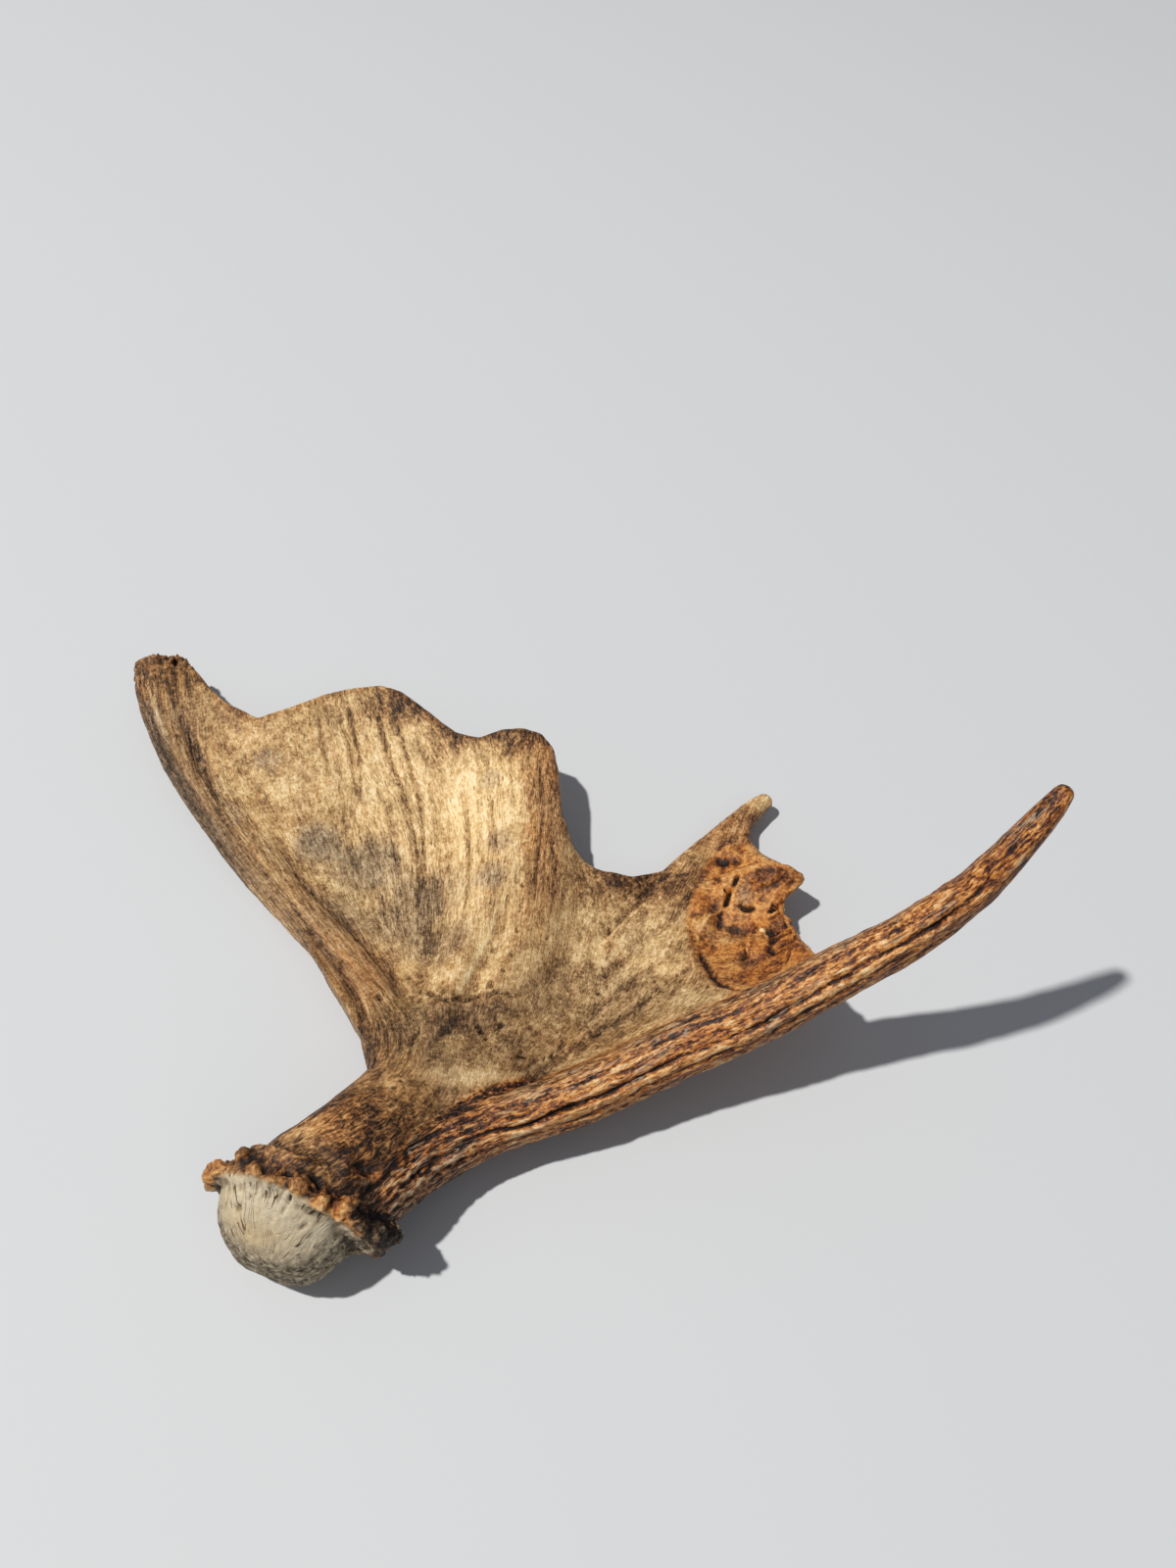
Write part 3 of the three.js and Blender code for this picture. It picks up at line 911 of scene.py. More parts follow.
@dataclass(frozen=True)
class BeamRelief:
    """Fibres on the short beam, which turn to rough wavy ridges beside the coronet."""

    ridge_height: float = 0.5
    wave_height: float = 1.3
    hollow: Point3 = (-51.5, -140.6, 47.4)

    def height(self, lay: Lay) -> Array:
        """Adds up the beam's relief.

        Args:
            lay: the skin's lay.

        Returns:
            The height at each point, in mm.
        """
        points = lay.skin.points
        beam = (1.0 - lay.palm) * (1.0 - lay.seal) * (1.0 - lay.pearls)
        close = ease(-46.0, -12.0, lay.burr[:, 2])
        ridges = self.ridge_height * (Noise(41).ridged(lay.stem_grain(3.0, 7.0), 2) - 0.5)
        bent = lay.stem_grain(2.8, 8.0) + 0.5 * Noise(43).value(points / 9.0)[:, None]
        waves = self.wave_height * (Noise(45).ridged(bent, 2) - 0.45) * lay.waves
        crumbs = 0.3 * Noise(47).layered(points / 4.0, 2) * close
        gap = (points - np.array(self.hollow)) / np.array([5.5, 3.2, 4.5])
        far = np.linalg.norm(gap, axis=1)
        pit = -3.0 * np.exp(-(far**2)) + 0.8 * swell(far - 1.5, 0.45)
        return beam * ((1.0 - 0.6 * lay.tine) * (ridges + crumbs) + waves + pit)


@dataclass(frozen=True)
class BurrRelief:
    """Small lumps over the coronet's pearls, with clefts between them."""

    pebble: float = 4.8
    bulge: float = 1.25

    def height(self, lay: Lay) -> Array:
        """Adds up the coronet's relief.

        Args:
            lay: the skin's lay.

        Returns:
            The height at each point, in mm.
        """
        points = lay.skin.points
        chosen = lay.pearls > 0.01
        total = np.zeros(len(points))
        shake = np.stack([Noise(seed).value(points[chosen] / 4.5) for seed in (51, 52, 54)], axis=1)
        near, second = Noise(53).pebbles((points[chosen] + 2.6 * shake) / self.pebble)
        knobs = ease(0.0, 0.55, second - near)
        total[chosen] = self.bulge * (knobs - 0.7) + 1.1 * Noise(55).layered(points[chosen] / 3.4, 3, 0.65)
        return lay.pearls * total


@dataclass(frozen=True)
class SealRelief:
    """The cast face: chalky, with short cracks that run in from its rim, a grained lower half and a small hole."""

    crack_depth: float = 0.5
    cracks: tuple[tuple[Point3, Point3, float], ...] = (  # both ends, and the depth in mm
        ((-80.1, -150.5, 56.3), (-83.0, -152.8, 54.7), 1.0),
        ((-76.9, -154.8, 55.2), (-80.6, -160.0, 50.1), 1.2),
        ((-72.0, -152.4, 59.4), (-78.1, -155.4, 53.0), 0.9),
        ((-66.9, -159.7, 55.0), (-73.9, -161.3, 48.5), 0.9),
        ((-69.8, -161.0, 47.7), (-73.6, -163.9, 46.0), 0.8),
        ((-54.5, -159.6, 47.6), (-61.1, -161.0, 40.6), 1.1),
        ((-51.8, -162.6, 44.5), (-55.8, -162.3, 38.5), 1.1),
        ((-84.4, -152.8, 56.6), (-86.3, -154.9, 52.6), 0.9),
        ((-91.4, -152.3, 52.0), (-93.9, -154.2, 49.9), 0.8),
        ((-90.0, -149.9, 56.3), (-90.4, -153.2, 52.0), 0.9),
        ((-63.8, -156.9, 57.1), (-66.9, -159.7, 53.5), 0.9),
    )
    hole: Point3 = (-97.7, -155.8, 46.3)
    hole_radius: float = 1.3

    def height(self, lay: Lay) -> Array:
        """Adds up the seal's relief.

        Args:
            lay: the skin's lay.

        Returns:
            The height at each point, in mm.
        """
        round_cells = face_grain(lay)
        cracks = Noise(61).ridged(round_cells / np.array([4.2, 26.0, 26.0]), 2) ** 3
        rim = ease(24.0, 4.0, round_cells[:, 1])
        flow = Noise(63).layered(round_cells / np.array([3.2, 16.0, 16.0]), 2)
        grain = Noise(65).layered(lay.skin.points / 2.6, 2)
        mounds = Noise(67).layered(lay.skin.points / 11.0, 2)
        total = -self.crack_depth * cracks * rim + 0.3 * flow * rim + 0.4 * grain * (1.0 - 0.7 * rim)
        gap = np.linalg.norm(lay.skin.points - np.array(self.hole), axis=1)
        total -= 2.8 * swell(gap, self.hole_radius)
        for start, end, depth in self.cracks:
            gap, share = line_distance(lay.skin.points, np.array([start, end]))
            total -= depth * swell(gap, 0.75) * ease(-0.1, 0.3, share) * ease(1.1, 0.7, share)
        return lay.seal * (total + 0.8 * mounds)


def face_grain(lay: Lay) -> Array:
    """Measures the skin round the cast face.

    Args:
        lay: the skin's lay.

    Returns:
        A table of mm round the face, in from its rim, and out of it.
    """
    right, rise, out, radii = lay.burr[:, :4].T
    inward = np.maximum(FACE_RADIUS * (1.0 - radii), 0.0) + 0.6 * out
    return np.stack([np.arctan2(right, rise) * FACE_RADIUS, inward, out], axis=1)


@dataclass(frozen=True)
class ScarRelief:
    """The healed break on the brow palm: a smooth sunken floor with soft lumps, slits and a wedge-shaped snag."""

    sink: float = 2.2
    lumps: tuple[Lump, ...] = (
        Lump((107.2, 1.5), 5.5, 1.5),
        Lump((84.5, 2.5), 7.0, 1.8),
        Lump((87.0, -9.5), 6.5, 1.3),
        Lump((92.5, 9.0), 6.0, 1.0),
        Lump((117.6, -15.3), 4.2, 2.4),
        Lump((112.0, -17.8), 2.4, 1.7),
        Lump((101.5, 30.0), 6.0, 1.2),
        Lump((99.0, -24.0), 8.0, 0.9),
        Lump((96.0, -37.0), 9.0, 0.8),
        Lump((108.0, -36.0), 7.0, 0.8),
        Lump((120.0, -37.0), 7.0, 1.6),
        Lump((98.0, 26.0), 4.2, -1.8),
        Lump((104.5, 24.5), 3.2, -1.4),
        Lump((116.0, 11.5), 5.0, -1.3),
        Lump((124.5, 9.5), 3.6, -1.2),
        Lump((102.5, -14.0), 4.5, -0.9),
        Lump((92.5, -1.5), 3.0, -0.8),
    )
    slits: tuple[Mark, ...] = (
        Mark(((103.8, 13.2), (102.0, 9.8), (100.4, 6.8)), 1.1, 2.4, 0.25),
        Mark(((99.2, 6.8), (98.0, 2.5), (96.2, -2.0)), 1.1, 3.0, 0.2),
        Mark(((95.2, -3.5), (94.4, -6.0), (94.8, -9.0)), 0.9, 1.8, 0.25),
        Mark(((103.2, -0.6), (104.8, -3.4), (107.4, -4.6), (110.4, -3.2)), 0.9, 2.2, 0.15),
        Mark(((115.6, -8.4), (118.2, -5.8), (122.5, -3.0), (127.5, -0.3), (133.0, 3.8)), 1.2, 5.0, 0.1),
        Mark(((117.5, -2.8), (121.0, -0.2), (127.0, 2.6), (132.5, 6.0)), 1.5, -1.3, 0.15),
        Mark(((121.2, -11.0), (121.8, -15.5), (120.2, -19.8)), 0.9, 2.0, 0.2),
        Mark(((107.0, 14.5), (114.0, 16.5), (124.0, 14.0), (132.0, 10.5)), 1.6, -1.1, 0.15),
        Mark(((116.0, -10.0), (118.6, -11.0), (120.0, -15.0), (119.4, -19.0)), 1.0, -0.9, 0.2),
        Mark(((113.5, -17.5), (116.5, -19.5), (119.0, -19.0)), 1.0, 1.3, 0.25),
        Mark(((115.3, -35.5), (116.6, -29.0), (119.4, -25.4), (123.0, -28.5), (125.0, -35.0)), 1.1, -1.2, 0.15),
        Mark(((114.0, -37.0), (115.0, -29.0), (118.6, -23.4)), 0.9, 0.9, 0.2),
    )
    crust: float = 0.2

    def height(self, lay: Lay) -> Array:
        """Adds up the scar's relief.

        Args:
            lay: the skin's lay.

        Returns:
            The height at each point, in mm.
        """
        points = lay.skin.points
        wedge = swell(np.linalg.norm((points[:, :2] - [116.0, 11.0]) / [16.0, 8.0], axis=1), 1.0)
        slope = 1.6 + 6.0 * ease(-32.0, -12.0, points[:, 1])
        floor = ease(-0.4, 1.0, lay.scar_depth / slope) * ease(20.0, 0.0, points[:, 1]) * (1.0 - wedge)
        lip = 0.6 * swell(lay.scar_depth + 2.2, 1.9) * ease(-6.0, -28.0, points[:, 1])
        chosen = lay.scar > 0.01
        crust = np.zeros(len(points))
        shake = np.stack([Noise(seed).value(points[chosen] / 8.0) for seed in (71, 72, 74)], axis=1)
        near, second = Noise(73).pebbles((points[chosen] + 3.0 * shake) / 7.5)
        crust[chosen] = ease(0.0, 0.5, second - near) - 0.7
        rough = Noise(75).layered(points / 4.2, 3, 0.6)
        shape = sum(lump.carve(lay) for lump in self.lumps) + sum(slit.carve(lay) for slit in self.slits)
        carved = lay.scar * (self.crust * crust + 0.42 * rough + shape)
        return carved + lay.top * (lip - self.sink * floor) * (1.0 - lay.tine)


@dataclass(frozen=True)
class SnapRelief:
    """The broken end of the left tine, porous and jagged."""

    def height(self, lay: Lay) -> Array:
        """Adds up the break's relief.

        Args:
            lay: the skin's lay.

        Returns:
            The height at each point, in mm.
        """
        points = lay.skin.points
        teeth = Noise(81).ridged(points / np.array([3.6, 12.0, 3.6]), 2) - 0.6
        pores = Noise(83).layered(points / 2.1, 2)
        return lay.snap * (3.1 * teeth + 1.3 * pores)


@dataclass(frozen=True)
class ForkRelief:
    """The step where the main palm dips below the beam, and the small pores near it."""

    step: tuple[Point, ...] = (
        (-41, -51), (-36, -56), (-29, -59.5), (-23, -58), (-16, -56.5), (-9, -54.5), (-2, -54), (6, -54),
    )  # fmt: skip
    pores: tuple[Lump, ...] = (Lump((-5.4, -69.8), 1.5, -1.6), Lump((14.0, -23.5), 1.3, -0.9))

    def height(self, lay: Lay) -> Array:
        """Adds up the step and the pores.

        Args:
            lay: the skin's lay.

        Returns:
            The height at each point, in mm.
        """
        plan = lay.skin.points[:, :2]
        line = spline(np.array(self.step, float), 6)
        gap, share = line_distance(plan, line)
        wander = 2.2 * Noise(91).layered(lay.skin.points / 7.0, 3, 0.6)
        ends = ease(0.0, 0.15, share) * ease(1.0, 0.55, share)
        ends *= 0.55 + 0.45 * ease(-0.3, 0.2, Noise(92).value(lay.skin.points / 8.0))
        beyond = plan[:, 1] > np.interp(plan[:, 0], line[:, 0], line[:, 1])
        side = np.where(beyond, gap, -gap) + wander
        crease = -2.5 * swell(side - 0.6, 1.15) + 0.8 * swell(side + 3.0, 3.0) - 0.9 * swell(side - 5.0, 6.0)
        return lay.top * (crease * ends + sum(pore.carve(lay) for pore in self.pores))


# ---------------------------------------------------------------- staining


@dataclass(frozen=True)
class Stain:
    """A soft spot of colour in plan: how much it adds to tone, rust and grey."""

    at: Point
    size: Point
    tone: float = 0.0
    rust: float = 0.0
    grey: float = 0.0

    def weight(self, points: Array, ragged: Array) -> Array:
        """How strong the spot is at each point.

        Args:
            points: the places, one row each.
            ragged: what makes its edge uneven, as a share of its size.

        Returns:
            The strength, 0 to 1.
        """
        gap = np.linalg.norm((points[:, :2] - np.array(self.at)) / np.array(self.size), axis=1)
        return ease(1.35, 0.35, gap + ragged)


@dataclass(frozen=True)
class Stripe:
    """A stripe of colour along the long tine, at a turn in degrees from its top."""

    turn: float
    width: float
    tone: float
    rust: float
    grey: float = 0.0


@dataclass(frozen=True)
class Staining:
    """Broad colour of the antler: tone from near black to ivory, rust for the rubbed parts, grey for the dull ones."""

    stains: tuple[Stain, ...] = (
        Stain((-18, 40), (26, 46), tone=0.20, grey=-0.1),
        Stain((-16, -16), (22, 30), tone=0.12, rust=0.06),
        Stain((-56, 74), (34, 40), tone=0.12),
        Stain((-88, 96), (26, 30), tone=0.06, rust=0.06),
        Stain((-132, 62), (38, 44), tone=0.03, rust=0.06),
        Stain((-152, 106), (30, 24), tone=-0.02, rust=0.10),
        Stain((-181, 117), (16, 22), tone=-0.13, grey=0.12),
        Stain((-196, 138), (20, 14), tone=-0.14, grey=-0.2),
        Stain((-102, 38), (12, 12), tone=-0.12, rust=-0.2, grey=0.62),
        Stain((-76, 24), (19, 16), tone=-0.08, rust=-0.15, grey=0.50),
        Stain((-54, -4), (18, 26), tone=-0.07, rust=-0.1, grey=0.36),
        Stain((-34, 6), (12, 16), tone=-0.10, grey=0.20),
        Stain((-90, -8), (20, 18), tone=-0.12, grey=0.26),
        Stain((-34, -26), (16, 12), tone=-0.12, grey=0.30),
        Stain((-134, 86), (8, 7), tone=-0.10, grey=0.40),
        Stain((-17, 64), (6, 7), tone=-0.16, grey=0.35),
        Stain((-10, 27), (7, 8), tone=-0.16, grey=0.35),
        Stain((-14, 6), (9, 8), tone=-0.18, grey=0.45),
        Stain((-62, 120), (26, 14), tone=-0.29, rust=0.10),
        Stain((-36, 98), (24, 14), tone=-0.31, rust=0.14),
        Stain((10, 42), (10, 60), tone=-0.08, rust=0.40),
        Stain((-22, -46), (20, 7), tone=0.16, rust=0.08),
        Stain((-2, 86), (18, 13), tone=-0.28, rust=0.20),
        Stain((36, 8), (24, 14), tone=-0.22, rust=0.1),
        Stain((72, 14), (30, 13), tone=-0.26, rust=0.1),
        Stain((44, -20), (24, 16), tone=0.04, grey=0.10),
        Stain((38, -50), (44, 20), tone=-0.12, grey=0.16),
        Stain((60, -72), (40, 10), tone=-0.06, rust=0.12),
        Stain((-22, -80), (36, 26), tone=-0.20, grey=0.16),
        Stain((-58, -76), (14, 22), tone=-0.16, rust=0.18),
        Stain((-70, -40), (18, 22), tone=-0.02, rust=0.30),
        Stain((-88, -24), (14, 16), tone=-0.05, rust=0.20),
        Stain((104, 44), (22, 18), tone=-0.08, rust=0.42),
        Stain((121, 65), (8, 8), tone=0.16),
        Stain((-68, -124), (12, 8), tone=0.18, rust=0.06),
        Stain((-80, -132), (16, 10), tone=0.10, rust=-0.02, grey=0.12),
        Stain((-60, -124), (22, 14), tone=-0.06, rust=0.10),
        Stain((-52, -145), (9, 8), tone=-0.14, rust=0.25),
        Stain((-51.5, -140), (5, 4), tone=0.16, rust=0.5),
        # painted light: these two lift the shade in the crease above the long tine's root
        Stain((-26, -97), (16, 5), tone=0.14),
        Stain((-10, -97), (22, 7), tone=0.14),
        Stain((-47, -154), (9, 8), tone=-0.26, rust=-0.1, grey=0.1),
    )
    scar_stains: tuple[Stain, ...] = (
        Stain((119, 9), (12, 4.5), tone=-0.24, rust=0.1),
        Stain((106, 3), (5, 6), tone=-0.12, rust=-0.2, grey=0.25),
        Stain((103, -27), (10, 8), tone=-0.06),
        Stain((123, -37), (7, 7), tone=-0.18, rust=0.3),
        Stain((118, -15.6), (3.4, 3.4), tone=-0.26, rust=0.1, grey=0.1),
        # painted highlight: a pale spot on the small lump beside the dark one
        Stain((112, -17.8), (2.2, 2.2), tone=0.28, rust=-0.5),
        Stain((86, 2), (5, 7), tone=-0.06, rust=0.1),
        Stain((98, 26), (6, 5), tone=-0.22),
        Stain((113, -46), (13, 8), tone=-0.08, rust=0.3),
        Stain((92, -49), (9, 8), tone=-0.10, rust=-0.1),
        Stain((92, -14), (12, 8), tone=0.08, rust=-0.15),
        Stain((104, 20), (12, 8), tone=0.06, rust=0.1),
    )
    stripes: tuple[Stripe, ...] = (
        Stripe(38, 26, 0.38, 0.55, 0.35),
        Stripe(2, 6, 0.24, 1.10),
        Stripe(-11, 7, 0.60, 0.80, 0.05),
        Stripe(-26, 8, 0.50, 1.20),
        Stripe(-54, 11, 0.66, 0.80),
        Stripe(-78, 13, 0.48, 1.15),
        Stripe(-102, 12, 0.50, 0.90, 0.10),
        Stripe(-128, 16, 0.28, 0.70, 0.15),
    )

    rim_crack: Mark = Mark(((-206, 139), (-201, 124), (-191, 104), (-181, 86)), 1.1, 0.5)
    snap_paint: Point3 = (0.31, 0.35, -0.5)
    tip_paint: Point3 = (0.42, 0.25, 0.35)
    rim_share: Point3 = (0.6, 0.7, 0.7)  # how far the left rim's own tone, rust and grey cover the palm's
    furrow_painted_shade: float = 0.15  # painted shade in the marks: darker by so much for each mm of a mark's depth, lighter on a raised one
    rim_mark_painted_light: float = 0.13
    slit_painted_shade: float = 0.11

    def paint(self, lay: Lay, fine: Array, broad: Array) -> Array:
        """Mixes the broad colour at each point, with painted shade in the hollows and a painted highlight on the
        crests.

        Args:
            lay: the skin's lay.
            fine: how far each point stands proud of its close surroundings, -1 to 1.
            broad: the same for wider surroundings.

        Returns:
            A table of tone, rust and grey.
        """
        clouds = Noise(101).layered(lay.skin.points / 26.0, 3)
        paint = self._palms(lay, clouds, broad)
        paint += lay.rim[:, None] * (self._left_rim(lay) - paint) * self.rim_share
        paint += lay.tine[:, None] * (self._long_tine(lay, clouds) - paint)
        paint += lay.scar[:, None] * (self._scar(lay, clouds) - paint)
        paint += lay.pearls[:, None] * (self._coronet(lay) - paint)
        paint += lay.seal[:, None] * (self._cast_face(lay, clouds) - paint)
        paint += lay.snap[:, None] * (np.array(self.snap_paint) - paint)
        # painted shade: clefts and broad hollows are painted darker, and crests a little lighter as a painted highlight
        crest, painted_cleft_shade = np.maximum(fine, 0.0), np.minimum(fine, 0.0)
        rough = np.maximum.reduce([lay.tine, lay.waves, lay.pearls, lay.scar])
        paint[:, 0] += (0.16 + 0.22 * rough + 0.10 * lay.tine) * painted_cleft_shade + 0.08 * crest
        paint[:, 0] += 0.12 * np.minimum(broad, 0.0)
        paint[:, 2] += crest * (0.15 * lay.tine + 0.8 * lay.waves)
        paint[:, 0] += 0.26 * crest * lay.waves
        return paint

    def _palms(self, lay: Lay, clouds: Array, broad: Array) -> Array:
        """The beam and both palms.

        Args:
            lay: the skin's lay.
            clouds: broad noise.
            broad: broad hollows and crests, -1 to 1.

        Returns:
            A table of tone, rust and grey.
        """
        points = lay.skin.points
        # painted shade: faces turned downwards are painted darker and greyer, and the stains fade there
        under = 1.0 - lay.top
        streaks = lay.fibres(Noise(103), 6.0, 9.0)
        tone = 0.35 + 0.27 * lay.palm + 0.10 * clouds + 0.13 * streaks * (1.0 - 0.7 * lay.calm) - 0.08 * under
        # painted shade inside the deeper furrows
        tone -= sum(self.furrow_painted_shade * furrow.depth * furrow.trace(lay) for furrow in PalmRelief.furrows)
        rust = 0.30 - 0.18 * lay.palm + 0.14 * Noise(105).layered(points / 34.0, 2)
        grey = 0.10 * lay.palm + 0.14 * Noise(107).layered(points / 21.0, 3) + 0.10 * under
        paint = np.stack([tone, rust, grey], axis=1)
        for stain in self.stains:
            weight = stain.weight(points, 0.35 * clouds + 0.15 * streaks) * (1.0 - 0.8 * under)
            paint += weight[:, None] * [stain.tone, stain.rust, stain.grey]
        edge = ease(0.12, 0.9, broad) * (1.0 - lay.seal)
        return paint + edge[:, None] * [-0.16, 0.16, 0.0]

    def _left_rim(self, lay: Lay) -> Array:
        """The thick left rim: dull violet brown outside, redder towards the beam and warmer inside.

        Args:
            lay: the skin's lay.

        Returns:
            A table of tone, rust and grey.
        """
        points = lay.skin.points
        red = 0.28 + 0.34 * ease(20.0, -40.0, points[:, 1])
        outside = ease(-0.1, -0.7, lay.normals[:, 0] + lay.normals[:, 1])
        blotches = Noise(119).layered(points / 9.0, 3)
        golden = ease(112.0, 134.0, points[:, 1] - 0.25 * points[:, 0] - 50.0)
        pale = self.rim_crack.trace(lay)
        lower = ease(50.0, -10.0, points[:, 1])
        violet = swell(line_distance(points[:, :2], RIM_EDGE)[0], 7.0) * (1.0 - golden) * (1.0 - lower)
        tone = 0.46 + 0.17 * lower - 0.10 * outside - 0.26 * violet + 0.14 * blotches - 0.14 * golden + 0.6 * pale
        # painted shade in the rim's grooves and a painted highlight on its raised ridges, by their depth
        tone -= sum(self.rim_mark_painted_light * mark.depth * mark.trace(lay) for mark in RimRelief.marks)
        grey = (0.22 + 0.30 * outside + 0.3 * violet + 0.2 * blotches) * (1.0 - golden) + 0.4 * pale
        return np.stack([tone, red + 0.18 * golden, grey], axis=1)

    def _long_tine(self, lay: Lay, clouds: Array) -> Array:
        """The long tine: rubbed orange with tan, dark and pale stripes, which blend towards its tan tip.

        Args:
            lay: the skin's lay.
            clouds: broad noise.

        Returns:
            A table of tone, rust and grey.
        """
        across, rise, along = lay.limb.T
        turn = np.degrees(np.arctan2(-across, rise)) - twist(along, 99)
        paint = np.stack([np.full_like(along, 0.45), np.full_like(along, 1.05), np.full_like(along, -0.05)], axis=1)
        blend = 0.3 + 0.7 * ease(300.0, 210.0, along)
        for lane, stripe in enumerate(self.stripes):
            track = np.stack([along / 24.0, np.full_like(along, 3.7 * lane), np.zeros_like(along)], axis=1)
            shift = 7.0 * Noise(111).value(track)
            weight = blend * swell(turn_from(turn, stripe.turn + shift), stripe.width)
            weight = weight * np.clip(0.75 + 0.9 * Noise(113).value(track * 1.3), 0.15, 1.0)
            paint += weight[:, None] * (np.array([stripe.tone, stripe.rust, stripe.grey]) - paint)
        upper = turn_from(turn, 32.0)
        paint[:, 0] -= 0.13 * ease(255.0, 330.0, along) - 0.12 * clouds
        paint[:, 0] -= 0.22 * ease(90.0, 20.0, along) * (1.0 - 0.6 * swell(upper, 30.0))
        paint[:, 0] += 0.10 * ease(170.0, 110.0, along) * swell(upper, 34.0)
        paint[:, 1] -= 0.15 * ease(55.0, 5.0, along)
        cap = ease(343.0, 350.0, along)[:, None]
        return paint + cap * (np.array(self.tip_paint) - paint)

    def _scar(self, lay: Lay, clouds: Array) -> Array:
        """The healed break: ochre and orange in soft patches, with painted shade along its sunken edge and in its
        slits.

        Args:
            lay: the skin's lay.
            clouds: broad noise.

        Returns:
            A table of tone, rust and grey.
        """
        patches = Noise(115).layered(lay.skin.points / 11.0, 3)
        points = lay.skin.points
        tone = 0.58 + 0.08 * clouds + 0.14 * patches
        # painted shade: a dark band just inside the scar's sunken outline, on its lower left, where its edge throws
        # shade
        broken = 0.12 + 0.26 * ease(-0.2, 0.4, patches)
        broken = broken * ease(-6.0, -28.0, points[:, 1]) * ease(112.0, 96.0, points[:, 0])
        tone -= broken * swell(lay.scar_depth - 0.6, 1.4)
        # painted shade inside the deep slits
        deep = [slit for slit in ScarRelief.slits if slit.depth > 1.0]
        tone -= sum(self.slit_painted_shade * slit.depth * slit.trace(lay) for slit in deep)
        rust = 0.80 + 0.45 * Noise(117).layered(points / 12.0, 2) + 0.004 * (points[:, 0] - 100.0)
        paint = np.stack([tone, rust, np.zeros_like(tone)], axis=1)
        for stain in self.scar_stains:
            weight = stain.weight(points, 0.5 * patches)
            paint += weight[:, None] * [stain.tone, stain.rust, stain.grey]
        return paint

    def _cast_face(self, lay: Lay, clouds: Array) -> Array:
        """The cast face: how tan it is goes under rust, and how grey and speckled under grey.

        Args:
            lay: the skin's lay.
            clouds: broad noise.

        Returns:
            A table of tone, rust and grey.
        """
        right, rise, out = lay.burr[:, :3].T
        patch = swell(np.hypot((right + 9.0) / 17.0, (rise - 13.0) / 6.5), 1.0)
        rim = swell(lay.burr[:, 3] - 0.92, 0.09) * ease(4.0, 1.0, out)
        low = ease(13.0, 0.0, rise + 4.0 * clouds)
        tan = 0.06 + 0.70 * patch + 0.8 * rim + 0.25 * clouds - 0.12 * low
        return np.stack([np.full_like(right, 0.5), tan, low], axis=1)

    def _coronet(self, lay: Lay) -> Array:
        """The coronet: brown towards the beam, golden towards the cast face, orange and then near black at the right.

        Args:
            lay: the skin's lay.

        Returns:
            A table of tone, rust and grey.
        """
        right, out = lay.burr[:, 0], lay.burr[:, 2]
        dark_end = ease(23.0, 32.0, right)
        tone = 0.35 + 0.21 * ease(-3.0, 4.0, out) + 0.10 * swell(right - 19.0, 8.0) - 0.40 * dark_end
        rust = 0.48 + 0.45 * swell(right - 19.0, 8.0) + 0.15 * ease(-26.0, -34.0, right) - 0.25 * dark_end
        return np.stack([tone, rust, np.zeros_like(tone)], axis=1)


# ---------------------------------------------------------------- finish


class Signal:
    """A number on its way through a material's nodes, with arithmetic."""

    def __init__(self, sheet: "NodeSheet", socket: bpy.types.NodeSocket) -> None:
        """Wraps an output socket of a sheet."""
        self.sheet = sheet
        self.socket = socket

    def _math(self, operation: str, *terms: "Signal | float", clamp: bool = False) -> "Signal":
        """Adds one Math node on these terms."""
        return self.sheet.node("ShaderNodeMath", {"operation": operation, "use_clamp": clamp}, dict(enumerate(terms)))

    def __add__(self, other: "Signal | float") -> "Signal":
        """Adds."""
        return self._math("ADD", self, other)

    def __radd__(self, other: float) -> "Signal":
        """Adds, with the number first."""
        return self._math("ADD", other, self)

    def __sub__(self, other: "Signal | float") -> "Signal":
        """Subtracts."""
        return self._math("SUBTRACT", self, other)

    def __rsub__(self, other: float) -> "Signal":
        """Subtracts from a number."""
        return self._math("SUBTRACT", other, self)

    def __mul__(self, other: "Signal | float") -> "Signal":
        """Multiplies."""
        return self._math("MULTIPLY", self, other)

    def __rmul__(self, other: float) -> "Signal":
        """Multiplies, with the number first."""
        return self._math("MULTIPLY", other, self)

    def size(self) -> "Signal":
        """Drops the sign."""
        return self._math("ABSOLUTE", self)

    def held(self) -> "Signal":
        """Holds the number between 0 and 1."""
        return self._math("ADD", self, 0.0, clamp=True)

    def window(self, low: float, high: float) -> "Signal":
        """Goes smoothly from 0 at low to 1 at high.

        Args:
            low: where it starts.
            high: where it ends.

        Returns:
            The share, 0 to 1.
        """
        settings = {"interpolation_type": "SMOOTHSTEP"}
        sockets = {"Value": self, "From Min": low, "From Max": high}
        return self.sheet.node("ShaderNodeMapRange", settings, sockets)

    def toward(self, other: "Signal | float", share: "Signal | float") -> "Signal":
        """Moves towards another number by a share."""
        return self + (other - self) * share


